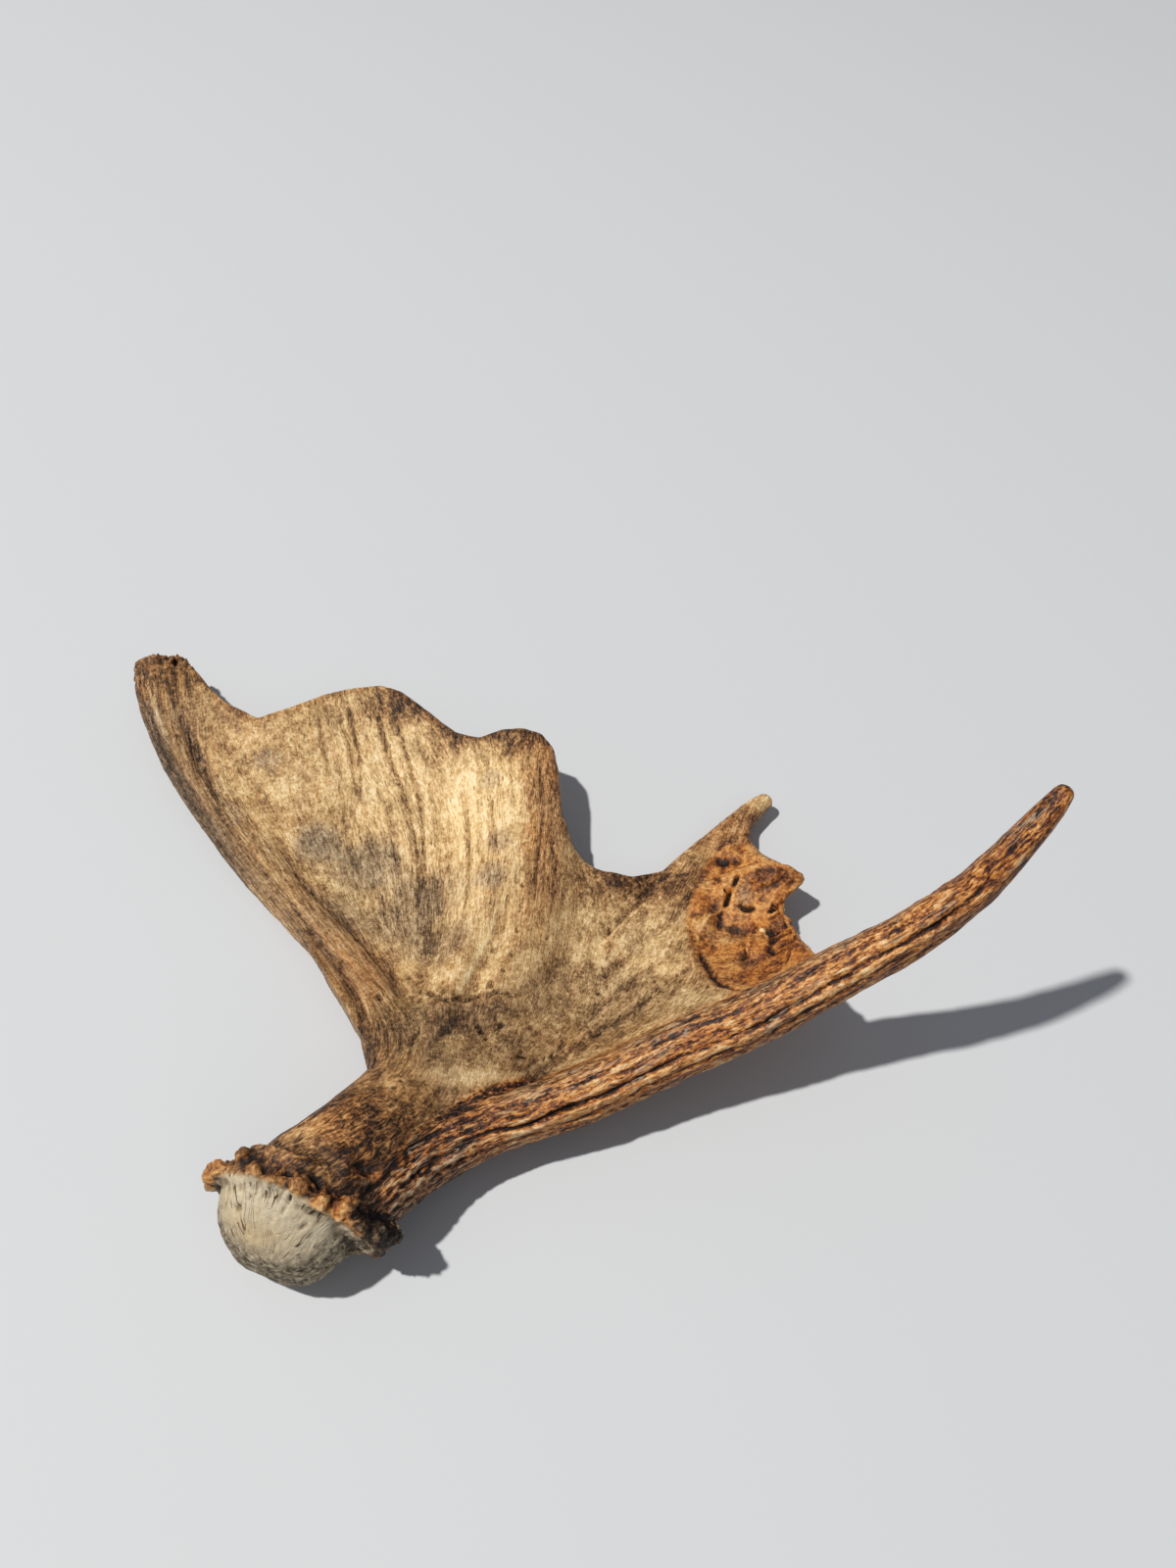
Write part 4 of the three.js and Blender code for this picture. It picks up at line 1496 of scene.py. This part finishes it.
@dataclass
class NodeSheet:
    """A material's nodes, added one by one."""

    tree: bpy.types.NodeTree

    def node(self, kind: str, settings: dict, sockets: dict, output: int | str = 0) -> Signal:
        """Adds a node.

        Args:
            kind: the node's type.
            settings: its settings, set first; a ramp's stops go under "stops".
            sockets: values or signals by socket name or number.
            output: which output to hand on.

        Returns:
            The output as a signal.
        """
        node = self.tree.nodes.new(kind)
        for name, value in settings.items():
            if name == "stops":
                self._stops(node.color_ramp, value)
            else:
                setattr(node, name, value)
        for name, value in sockets.items():
            if isinstance(value, Signal):
                self.tree.links.new(value.socket, node.inputs[name])
            else:
                node.inputs[name].default_value = value
        return Signal(self, node.outputs[output])

    @staticmethod
    def _stops(ramp: bpy.types.ColorRamp, stops: Sequence[tuple[float, Point3]]) -> None:
        """Sets a ramp's stops, each a place and a colour.

        Args:
            ramp: the ramp.
            stops: the stops, in order.
        """
        while len(ramp.elements) < len(stops):
            ramp.elements.new(0.5)
        for element, (place, colour) in zip(ramp.elements, stops):
            element.position = place
            element.color = (*colour, 1.0)

    def layer(self, layer: Layer) -> Signal:
        """One of the skin's layers, as a vector."""
        return self.node("ShaderNodeAttribute", {"attribute_name": layer.value}, {}, "Vector")

    def parts(self, vector: Signal) -> tuple[Signal, Signal, Signal]:
        """Splits a vector into three numbers.

        Args:
            vector: the vector.

        Returns:
            Its x, y and z.
        """
        first = self.node("ShaderNodeSeparateXYZ", {}, {0: vector}, 0)
        outputs = first.socket.node.outputs
        return first, Signal(self, outputs[1]), Signal(self, outputs[2])

    def scaled(self, vector: Signal, by: Point3) -> Signal:
        """Multiplies a vector side by side."""
        return self.node("ShaderNodeVectorMath", {"operation": "MULTIPLY"}, {0: vector, 1: by})

    def shifted(self, vector: Signal, by: Signal) -> Signal:
        """Adds one vector to another."""
        return self.node("ShaderNodeVectorMath", {"operation": "ADD"}, {0: vector, 1: by})

    def noise(self, place: Signal, width: float, detail: float = 2.0, rough: float = 0.55) -> Signal:
        """Smooth noise about 0.5, with cells so many mm wide."""
        sockets = {"Vector": place, "Scale": 1.0 / width, "Detail": detail, "Roughness": rough}
        return self.node("ShaderNodeTexNoise", {"noise_dimensions": "3D"}, sockets, 0)

    def wander(self, place: Signal, width: float, reach: float) -> Signal:
        """A vector of smooth noise that moves places by up to about half the reach, in mm.

        Args:
            place: where the noise is read.
            width: how wide its cells are, in mm.
            reach: twice how far it moves them.

        Returns:
            The vector.
        """
        sockets = {"Vector": place, "Scale": 1.0 / width, "Detail": 2.0}
        cloud = self.node("ShaderNodeTexNoise", {"noise_dimensions": "3D"}, sockets, "Color")
        centred = self.node("ShaderNodeVectorMath", {"operation": "SUBTRACT"}, {0: cloud, 1: (0.5, 0.5, 0.5)})
        return self.scaled(centred, (reach, reach, reach))

    def pebbles(self, place: Signal, width: float) -> Signal:
        """Distance to the nearest pebble's middle, in cells so many mm wide."""
        return self.node("ShaderNodeTexVoronoi", {"feature": "F1"}, {"Vector": place, "Scale": 1.0 / width}, 0)

    def ramp(self, value: Signal, stops: Sequence[tuple[float, Point3]]) -> Signal:
        """Looks a number up in a row of colours."""
        return self.node("ShaderNodeValToRGB", {"stops": stops}, {0: value})

    def mix(self, share: Signal, first: Signal | tuple, second: Signal | tuple) -> Signal:
        """Mixes two colours."""
        settings = {"data_type": "RGBA", "blend_type": "MIX"}
        return self.node("ShaderNodeMix", settings, {0: share, 6: first, 7: second}, 2)


@dataclass
class SkinSignals:
    """The skin's layers, and the places in mm at which the finish reads its noises."""

    sheet: NodeSheet

    def __post_init__(self) -> None:
        """Reads the layers and lays out the places."""
        sheet = self.sheet
        self.tone, self.rust, self.grey = sheet.parts(sheet.layer(Layer.PAINT))
        self.tine, self.seal, self.pearls = sheet.parts(sheet.layer(Layer.ZONE))
        self.scar, self.palm, self.snap = sheet.parts(sheet.layer(Layer.CARE))
        self.fine, self.waves, self.calm = sheet.parts(sheet.layer(Layer.HOLLOW))
        self.rim = sheet.parts(sheet.layer(Layer.RIM))[0]
        self.place = sheet.scaled(sheet.node("ShaderNodeTexCoord", {}, {}, "Object"), (1.0 / MM,) * 3)
        wander = sheet.wander(self.place, 6.0, 2.6)
        fan = sheet.layer(Layer.FAN)
        self.palm_run = sheet.shifted(sheet.scaled(fan, (PALM_COLUMN, 1.0, 1.0)), wander)
        self.stem_run = sheet.shifted(sheet.scaled(fan, (STEM_COLUMN, 1.0, 1.0)), wander)
        self.tine_run = sheet.shifted(sheet.layer(Layer.LIMB), sheet.wander(self.place, 7.0, 2.0))
        self.face_run = sheet.shifted(sheet.layer(Layer.FACE), wander)

    def along_growth(self, width: float, stretch: float, detail: float = 2.0, rough: float = 0.55) -> Signal:
        """Noise drawn out along the fibres, wherever they run.

        Args:
            width: how wide a fibre is, in mm.
            stretch: how many times longer it is.
            detail: finer layers.
            rough: their strength.

        Returns:
            The noise, about 0.5.
        """
        sheet = self.sheet
        sideways = (1.0, 1.0 / stretch, 1.0)
        stem = sheet.noise(sheet.scaled(self.stem_run, sideways), width, detail, rough)
        palm = sheet.noise(sheet.scaled(self.palm_run, sideways), width, detail, rough)
        tine = sheet.noise(sheet.scaled(self.tine_run, (1.0, 1.0, 1.0 / stretch)), width, detail, rough)
        return stem.toward(palm, self.palm).toward(tine, self.tine)


@dataclass(frozen=True)
class BoneFinish:
    """Weathered antler: bone, rubbed rust and dull grey, each a row of colours from dark to light."""

    name: str = "antler_bone"
    bone: tuple[tuple[float, Point3], ...] = (
        (0.00, (0.010, 0.005, 0.002)),
        (0.18, (0.070, 0.032, 0.011)),
        (0.36, (0.210, 0.108, 0.036)),
        (0.54, (0.430, 0.262, 0.106)),
        (0.72, (0.690, 0.460, 0.205)),
        (0.86, (0.890, 0.655, 0.325)),
        (1.00, (0.980, 0.800, 0.480)),
    )
    rubbed: tuple[tuple[float, Point3], ...] = (
        (0.00, (0.008, 0.003, 0.002)),
        (0.20, (0.055, 0.016, 0.006)),
        (0.38, (0.210, 0.060, 0.013)),
        (0.54, (0.465, 0.160, 0.028)),
        (0.70, (0.640, 0.300, 0.078)),
        (0.86, (0.740, 0.500, 0.240)),
        (1.00, (0.820, 0.670, 0.440)),
    )
    dull: tuple[tuple[float, Point3], ...] = (
        (0.00, (0.012, 0.009, 0.007)),
        (0.30, (0.110, 0.076, 0.046)),
        (0.60, (0.330, 0.248, 0.158)),
        (1.00, (0.700, 0.590, 0.430)),
    )
    chalk: tuple[tuple[float, Point3], ...] = (
        (0.00, (0.050, 0.034, 0.018)),
        (0.25, (0.230, 0.180, 0.115)),
        (0.50, (0.450, 0.370, 0.255)),
        (0.70, (0.620, 0.540, 0.390)),
        (1.00, (0.820, 0.750, 0.600)),
    )
    crest: Point3 = (0.520, 0.380, 0.240)
    tan: Point3 = (0.640, 0.440, 0.200)
    tan_shade: Point3 = (0.16, 0.10, 0.05)
    pit: Point3 = (0.020, 0.008, 0.004)
    bump_strength: float = 0.75
    bump_distance: float = 0.0007
    ior: float = 1.5
    specular: float = 0.28

    def build(self) -> bpy.types.Material:
        """Makes the material.

        Returns:
            The finished material.
        """
        material = bpy.data.materials.new(self.name)
        material.use_nodes = True
        tree = material.node_tree
        shader = tree.nodes["Principled BSDF"]
        sheet = NodeSheet(tree)
        skin = SkinSignals(sheet)
        fibres = skin.along_growth(1.0, 4.5, 3.0, 0.65)
        streaks = skin.along_growth(3.2, 7.0, 3.0, 0.65)
        lines = skin.along_growth(1.1, 9.0, 1.0)
        mottle = sheet.noise(skin.place, 4.0, 5.0, 0.7)
        specks = sheet.noise(skin.place, 1.5, 2.0, 0.65)
        hairs = (sheet.noise(skin.place, 3.0, 1.0) - 0.5).size().window(0.030, 0.008)
        lumpy = (skin.scar + skin.pearls + skin.snap).held()
        drawn = (1.0 - lumpy) * (1.0 - skin.seal)
        calm = skin.calm * drawn
        clouds = sheet.noise(skin.place, 10.0, 4.0, 0.65).window(0.34, 0.66)

        strong = 1.35 - 0.60 * skin.tone
        fibrous = 0.30 * drawn + 0.16 * skin.tine - 0.08 * calm
        shade = skin.tone + (fibres.window(0.34, 0.66) - 0.5) * fibrous * strong
        shade = shade + (streaks - 0.5) * (0.85 * drawn - 0.65 * calm) * strong
        shade = shade + (mottle.window(0.34, 0.66) - 0.5) * (0.14 + 0.08 * lumpy + 0.08 * calm)
        shade = shade + (clouds - 0.5) * (0.06 + 0.12 * calm)
        shade = shade + (specks.window(0.34, 0.66) - 0.5) * (0.15 + 0.06 * lumpy) * strong
        shade = shade - lines.window(0.60, 0.68) * (0.30 * drawn - 0.18 * calm) * mottle.window(0.42, 0.60)
        shade = (shade + hairs * (0.12 * calm)).held()
        dull = (mottle - 0.5) * 0.9 * (1.0 - lumpy) + (fibres - 0.5) * (0.7 * drawn)
        dull = skin.grey + dull * (1.0 - 0.7 * skin.tine)
        warm = skin.rust + (streaks - 0.5) * (0.8 * drawn) + (mottle - 0.5) * 0.7
        colour = sheet.mix(warm.held(), sheet.ramp(shade, self.bone), sheet.ramp(shade, self.rubbed))
        colour = sheet.mix(dull.held(), colour, sheet.ramp(shade, self.dull))
        scratch = (skin.along_growth(2.2, 16.0, 1.0) - 0.5).size().window(0.022, 0.005)
        colour = sheet.mix(scratch * mottle.window(0.40, 0.55) * skin.rim * 0.55, colour, (*self.crest, 1.0))
        colour, pits = self._ridges(skin, colour)
        colour = sheet.mix(skin.seal, colour, self._face(skin, mottle, specks))
        links = tree.links
        links.new(colour.socket, shader.inputs["Base Color"])

        gloss = 0.58 - 0.10 * skin.tine + 0.22 * skin.seal + (mottle - 0.5) * 0.3 - 0.08 * skin.fine
        links.new(gloss.held().socket, shader.inputs["Roughness"])
        relief = fibres * drawn + specks * (0.5 + 0.5 * lumpy) + mottle * 0.5 - pits - lines.window(0.60, 0.70) * 0.3
        sockets = {"Strength": self.bump_strength, "Distance": self.bump_distance, "Height": relief}
        bump = sheet.node("ShaderNodeBump", {}, sockets)
        links.new(bump.socket, shader.inputs["Normal"])
        shader.inputs["IOR"].default_value = self.ior
        shader.inputs["Specular IOR Level"].default_value = self.specular
        return material

    def _ridges(self, skin: SkinSignals, colour: Signal) -> tuple[Signal, Signal]:
        """Adds the pale wavy crests and the rows of dark pits of the long tine and the beam's foot.

        Args:
            skin: the skin's layers and places.
            colour: the colour so far.

        Returns:
            The new colour, and how strongly there is a pit.
        """
        sheet = skin.sheet
        rough = (skin.tine + skin.waves).held()
        run = sheet.scaled(skin.tine_run, (1.0, 1.0, 1.0 / 11.0))
        crest = sheet.noise(run, 3.2, 2.0)
        thin = (crest - 0.5).size().window(0.030, 0.008)
        where = sheet.noise(sheet.scaled(skin.tine_run, (1.0, 1.0, 1.0 / 4.0)), 7.0, 1.0).window(0.47, 0.60)
        pale = (thin * where * 0.55 + skin.fine.window(0.3, 0.9) * (0.10 + 0.5 * skin.waves)) * rough
        colour = sheet.mix(pale.held(), colour, (*self.crest, 1.0))
        rows = sheet.noise(sheet.scaled(skin.tine_run, (1.0, 1.0, 1.0 / 9.0)), 2.6, 1.0).window(0.58, 0.66)
        spots = sheet.pebbles(sheet.scaled(skin.tine_run, (1.0, 1.0, 0.6)), 1.7).window(0.34, 0.20)
        pits = spots * rows * rough
        return sheet.mix(pits * 0.85, colour, (*self.pit, 1.0)), pits

    def _face(self, skin: SkinSignals, mottle: Signal, specks: Signal) -> Signal:
        """Colours the cast face: cream by its upper rim with fine cracks, tan patches, grey specks low down, and
        painted shade in its hollows.

        Args:
            skin: the skin's layers and places.
            mottle: middling noise.
            specks: fine noise.

        Returns:
            The colour.
        """
        sheet = skin.sheet
        low = skin.grey.held()
        flow = sheet.noise(sheet.scaled(skin.face_run, (1.0, 1 / 9, 1 / 9)), 1.7, 3.0)
        crack = (sheet.noise(sheet.scaled(skin.face_run, (1.0, 1 / 12, 1 / 12)), 4.6, 1.0) - 0.5).size()
        cracks = crack.window(0.017, 0.005) * sheet.noise(skin.place, 7.0, 1.0).window(0.47, 0.54) * (1.0 - low)
        grain = sheet.noise(skin.place, 2.4, 4.0, 0.75)
        chalky = 0.65 - 0.40 * low + (mottle - 0.5) * 0.4 + (specks - 0.5) * 0.35 + (flow - 0.5) * 0.30
        chalky = chalky + (grain - 0.5) * (0.25 + 1.8 * low) - cracks * 0.75
        # painted shade: hollows of the face, such as its cracks and small hole, are painted darker
        chalky = chalky + skin.fine.window(-1.0, 0.0) * 0.30 - 0.30
        tanned = (skin.rust + (mottle - 0.5) * 1.2).held() * 0.8
        face = sheet.ramp(chalky.held(), self.chalk)
        patches = sheet.mix(chalky.held(), (*self.tan_shade, 1.0), (*self.tan, 1.0))
        return sheet.mix(tanned, face, patches)


# ---------------------------------------------------------------- the antler


@dataclass(frozen=True)
class Cut:
    """An upright saw line at a fork: a plan point on it and the plan direction across it."""

    through: Point
    across: Point

    def plane(self) -> tuple[Vector, Vector]:
        """A point on the cut and its normal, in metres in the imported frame."""
        point = (np.array([*self.through, 0.0]) + np.array(SET_DOWN)) * MM
        return Vector(point), Vector((*self.across, 0.0)).normalized()


BEAM_FORK = Cut((-41, -110), (0.6, 0.8))
PALM_FORK = Cut((41, 17), (0.866, -0.5))
TINE_FORK = Cut((138, -62), (0.87, -0.49))


@dataclass(frozen=True)
class AntlerPiece:
    """One piece of the dressed antler: the skin between its forks."""

    part: Part
    slot: Slot
    sides: tuple[tuple[Cut, int], ...]  # each cut with the side that the piece keeps, 1 beyond it and -1 before it

    def build(self, whole: bpy.types.Mesh, finish: bpy.types.Material) -> bpy.types.Object:
        """Parts the piece from the whole skin and closes it at the forks.

        Args:
            whole: the whole skin, in metres.
            finish: its material.

        Returns:
            The piece, riding on the antler and standing for its solid.
        """
        net = bmesh.new()
        net.from_mesh(whole)
        for cut, side in self.sides:
            point, normal = cut.plane()
            everything = [*net.verts, *net.edges, *net.faces]
            result = bmesh.ops.bisect_plane(
                net, geom=everything, dist=1e-7, plane_co=point, plane_no=normal * -side, clear_outer=True
            )
            rim = [item for item in result["geom_cut"] if isinstance(item, bmesh.types.BMEdge)]
            bmesh.ops.triangle_fill(net, edges=rim, use_beauty=True, normal=normal * -side)
        mesh = bpy.data.meshes.new(f"{self.part.value}_skin")
        net.to_mesh(mesh)
        net.free()
        self._shade(mesh)
        mesh.materials.append(finish)
        piece = bpy.data.objects.new(mesh.name, mesh)
        bpy.context.scene.collection.objects.link(piece)
        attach(piece, "root")
        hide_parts(self.part.value)
        return piece

    def _shade(self, mesh: bpy.types.Mesh) -> None:
        """Keeps the whole skin's shading up to the cuts, so that no seam shows.

        Args:
            mesh: the piece's mesh, with the whole skin's normals as a layer.
        """
        mesh.polygons.foreach_set("use_smooth", [True] * len(mesh.polygons))
        kept = np.empty(len(mesh.vertices) * 3)
        mesh.attributes[Layer.SHADE.value].data.foreach_get("vector", kept)
        corners = np.empty(len(mesh.loops), np.int64)
        mesh.loops.foreach_get("vertex_index", corners)
        shades = unit(kept.reshape(-1, 3))[corners]
        flat = np.empty(len(mesh.polygons) * 3)
        mesh.polygon_normals.foreach_get("vector", flat)
        sizes = np.empty(len(mesh.polygons), np.int64)
        mesh.polygons.foreach_get("loop_total", sizes)
        flat = np.repeat(flat.reshape(-1, 3), sizes, axis=0)
        capped = np.zeros(len(corners), bool)
        points = np.empty(len(mesh.vertices) * 3)
        mesh.vertices.foreach_get("co", points)
        points = points.reshape(-1, 3)[corners]
        for cut, side in self.sides:
            point, normal = cut.plane()
            on_cut = np.abs((points - np.array(point)) @ np.array(normal)) < 1e-6
            capped |= on_cut & (flat @ np.array(normal) * -side > 0.999)
        shades[capped] = flat[capped]
        mesh.normals_split_custom_set(shades.tolist())
        mesh.attributes.remove(mesh.attributes[Layer.SHADE.value])


@dataclass
class Antler:
    """The whole antler."""

    maker: SkinMaker = field(default_factory=SkinMaker)
    reliefs: tuple = (
        PalmRelief(),
        RimRelief(),
        TineRelief(),
        BeamRelief(),
        BurrRelief(),
        SealRelief(),
        ScarRelief(),
        SnapRelief(),
        ForkRelief(),
    )
    levellings: tuple[Levelling, ...] = (
        Levelling(((22, 18), (22, -8), (20, -32), (14, -52), (4, -64)), 21.0),
        Levelling(((-50, -66), (-55, -80), (-56, -98)), 13.0, False),
        Levelling(((97, 4), (98, -2), (104, -5), (111, -6)), 8.5),
    )
    staining: Staining = field(default_factory=Staining)
    blur_rounds: int = 4  # over which the crisp places fade into the smooth ones
    smooth_rounds: int = 26
    level_rounds: int = 320  # in heights
    inland_rounds: int = 70  # in all directions
    fine_rounds: int = 5  # of smoothing, against which the fine hollows are measured
    broad_rounds: int = 60  # and the broad ones
    pieces: tuple[AntlerPiece, ...] = (
        AntlerPiece(Part.BEAM, Slot.BEAM, ((BEAM_FORK, -1),)),
        AntlerPiece(Part.MAIN, Slot.MAIN, ((BEAM_FORK, 1), (PALM_FORK, -1))),
        AntlerPiece(Part.BROW, Slot.BROW, ((BEAM_FORK, 1), (PALM_FORK, 1), (TINE_FORK, -1))),
        AntlerPiece(Part.TINE, Slot.TINE, ((BEAM_FORK, 1), (PALM_FORK, 1), (TINE_FORK, 1))),
    )

    def carve(self) -> tuple[Lay, dict[Layer, Array]]:
        """Grows, smooths and carves the skin.

        Returns:
            The carved skin's lay, and the layers for its finish.
        """
        skin = self.maker.grow()
        LOG.info("skin: %d points", len(skin.points))
        lay = Lay.measure(skin)
        crisp = np.maximum.reduce([lay.pearls, lay.scar, lay.snap])
        crisp = skin.soften(crisp, self.blur_rounds)
        skin.relax(1.0 - 0.9 * crisp, self.smooth_rounds)
        everywhere = np.maximum.reduce([place.weight(lay) for place in self.levellings])
        inland = np.maximum.reduce([place.weight(lay) for place in self.levellings if place.inland])
        skin.level(everywhere, self.level_rounds, (2,))
        skin.level(inland, self.inland_rounds, (0, 1, 2))
        lay = Lay.measure(skin)
        height = sum(relief.height(lay) for relief in self.reliefs)
        skin.push(height)
        skin.relax(0.5 * np.ones(len(height)), 1)
        coarse = np.maximum.reduce([lay.tine, lay.waves, lay.pearls, lay.scar, lay.snap])
        fine = np.clip(skin.soften(skin.hollows(self.fine_rounds), 1) / (0.16 + 0.34 * coarse), -1.0, 1.0)
        broad = np.clip(skin.hollows(self.broad_rounds) / 0.7, -1.0, 1.0)
        skin.points[:, 2] = np.maximum(skin.points[:, 2], -SET_DOWN[2])
        paint = self.staining.paint(lay, fine, broad)
        fan = np.column_stack([lay.fan, lay.skin.points[:, 2]])
        layers = {
            Layer.FAN: fan,
            Layer.LIMB: lay.limb,
            Layer.FACE: face_grain(lay),
            Layer.PAINT: paint,
            Layer.ZONE: np.column_stack([lay.tine, lay.seal, lay.pearls]),
            Layer.CARE: np.column_stack([lay.scar, lay.palm, lay.snap]),
            Layer.HOLLOW: np.column_stack([fine, lay.waves, lay.calm]),
            Layer.RIM: np.column_stack([lay.rim] * 3),
            Layer.SHADE: skin.normals(),
        }
        return lay, layers

    def build(self, finish: BoneFinish) -> list[bpy.types.Object]:
        """Builds and dresses the antler.

        Args:
            finish: its finish.

        Returns:
            Its pieces.
        """
        lay, layers = self.carve()
        whole = bpy.data.meshes.new("whole_skin")
        points = (lay.skin.points + np.array(SET_DOWN)) * MM
        whole.from_pydata(points.tolist(), [], lay.skin.quads.tolist())
        for layer, values in layers.items():
            attribute = whole.attributes.new(layer.value, "FLOAT_VECTOR", "POINT")
            attribute.data.foreach_set("vector", values.astype(np.float32).ravel())
        material = finish.build()
        made = []
        for piece in self.pieces:
            made.append(piece.build(whole, material))
            count = sum(len(face.vertices) - 2 for face in made[-1].data.polygons)
            LOG.info("%s: %d triangles", made[-1].name, count)
        bpy.data.meshes.remove(whole)
        return made


# ---------------------------------------------------------------- studio


@dataclass(frozen=True)
class AreaLamp:
    """A soft box."""

    name: str
    at: Point3
    size: float
    power: float
    colour: Point3 = (1.0, 1.0, 1.0)
    aim: Point3 = (0.0, 0.0, 0.02)

    def build(self) -> bpy.types.Object:
        """Hangs the lamp.

        Returns:
            The lamp, aimed.
        """
        data = bpy.data.lights.new(self.name, "AREA")
        data.shape = "DISK"
        data.size = self.size
        data.energy = self.power
        data.color = self.colour
        lamp = bpy.data.objects.new(self.name, data)
        lamp.location = self.at
        lamp.rotation_euler = (Vector(self.aim) - Vector(self.at)).to_track_quat("-Z", "Y").to_euler()
        bpy.context.scene.collection.objects.link(lamp)
        return lamp


@dataclass(frozen=True)
class Studio:
    """A pale floor, soft light and the camera."""

    camera_at: Point3 = (0.032834, -0.306726, 0.4786)
    camera_tilt: float = 40.0
    lens: float = 27.0
    sensor: float = 36.0
    near: float = 0.01
    floor_size: float = 12.0
    floor_roughness: float = 0.7
    floor_colour: Point3 = (0.60, 0.61, 0.62)
    sky: Point3 = (0.86, 0.90, 1.0)
    sky_strength: float = 0.20
    lamps: tuple[AreaLamp, ...] = (
        AreaLamp("key", (-3.52, -0.20, 7.50), 0.34, 690.0, (1.0, 0.985, 0.955)),
        AreaLamp("fill", (0.9, -1.6, 1.6), 1.6, 3.0, (0.93, 0.96, 1.0)),
    )

    def _floor(self) -> None:
        """Lays the floor."""
        net = bmesh.new()
        bmesh.ops.create_circle(net, cap_ends=True, segments=64, radius=self.floor_size / 2)
        mesh = bpy.data.meshes.new("floor")
        net.to_mesh(mesh)
        net.free()
        material = bpy.data.materials.new("pale_floor")
        material.use_nodes = True
        shader = material.node_tree.nodes["Principled BSDF"]
        shader.inputs["Base Color"].default_value = (*self.floor_colour, 1.0)
        shader.inputs["Roughness"].default_value = self.floor_roughness
        mesh.materials.append(material)
        floor = bpy.data.objects.new("floor", mesh)
        bpy.context.scene.collection.objects.link(floor)

    def build(self) -> None:
        """Sets up the floor, the light and the camera."""
        self._floor()
        world = bpy.data.worlds.new("studio")
        world.use_nodes = True
        background = world.node_tree.nodes["Background"]
        background.inputs["Color"].default_value = (*self.sky, 1.0)
        background.inputs["Strength"].default_value = self.sky_strength
        bpy.context.scene.world = world
        for lamp in self.lamps:
            lamp.build()
        data = bpy.data.cameras.new("camera")
        data.lens = self.lens
        data.sensor_width = self.sensor
        data.clip_start = self.near
        camera = bpy.data.objects.new("camera", data)
        camera.location = self.camera_at
        camera.rotation_euler = (math.radians(self.camera_tilt), 0.0, 0.0)
        bpy.context.scene.collection.objects.link(camera)
        bpy.context.scene.camera = camera
        bpy.context.scene.view_settings.view_transform = "Standard"


def main() -> None:
    """Builds the studio and the antler."""
    logging.basicConfig(level=logging.INFO, format="%(message)s")
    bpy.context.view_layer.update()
    Studio().build()
    LOG.info("studio: floor, lamps and camera")
    for piece in Antler().build(BoneFinish()):
        LOG.info("dressed %s", piece.name)


if __name__ == "__main__":
    main()
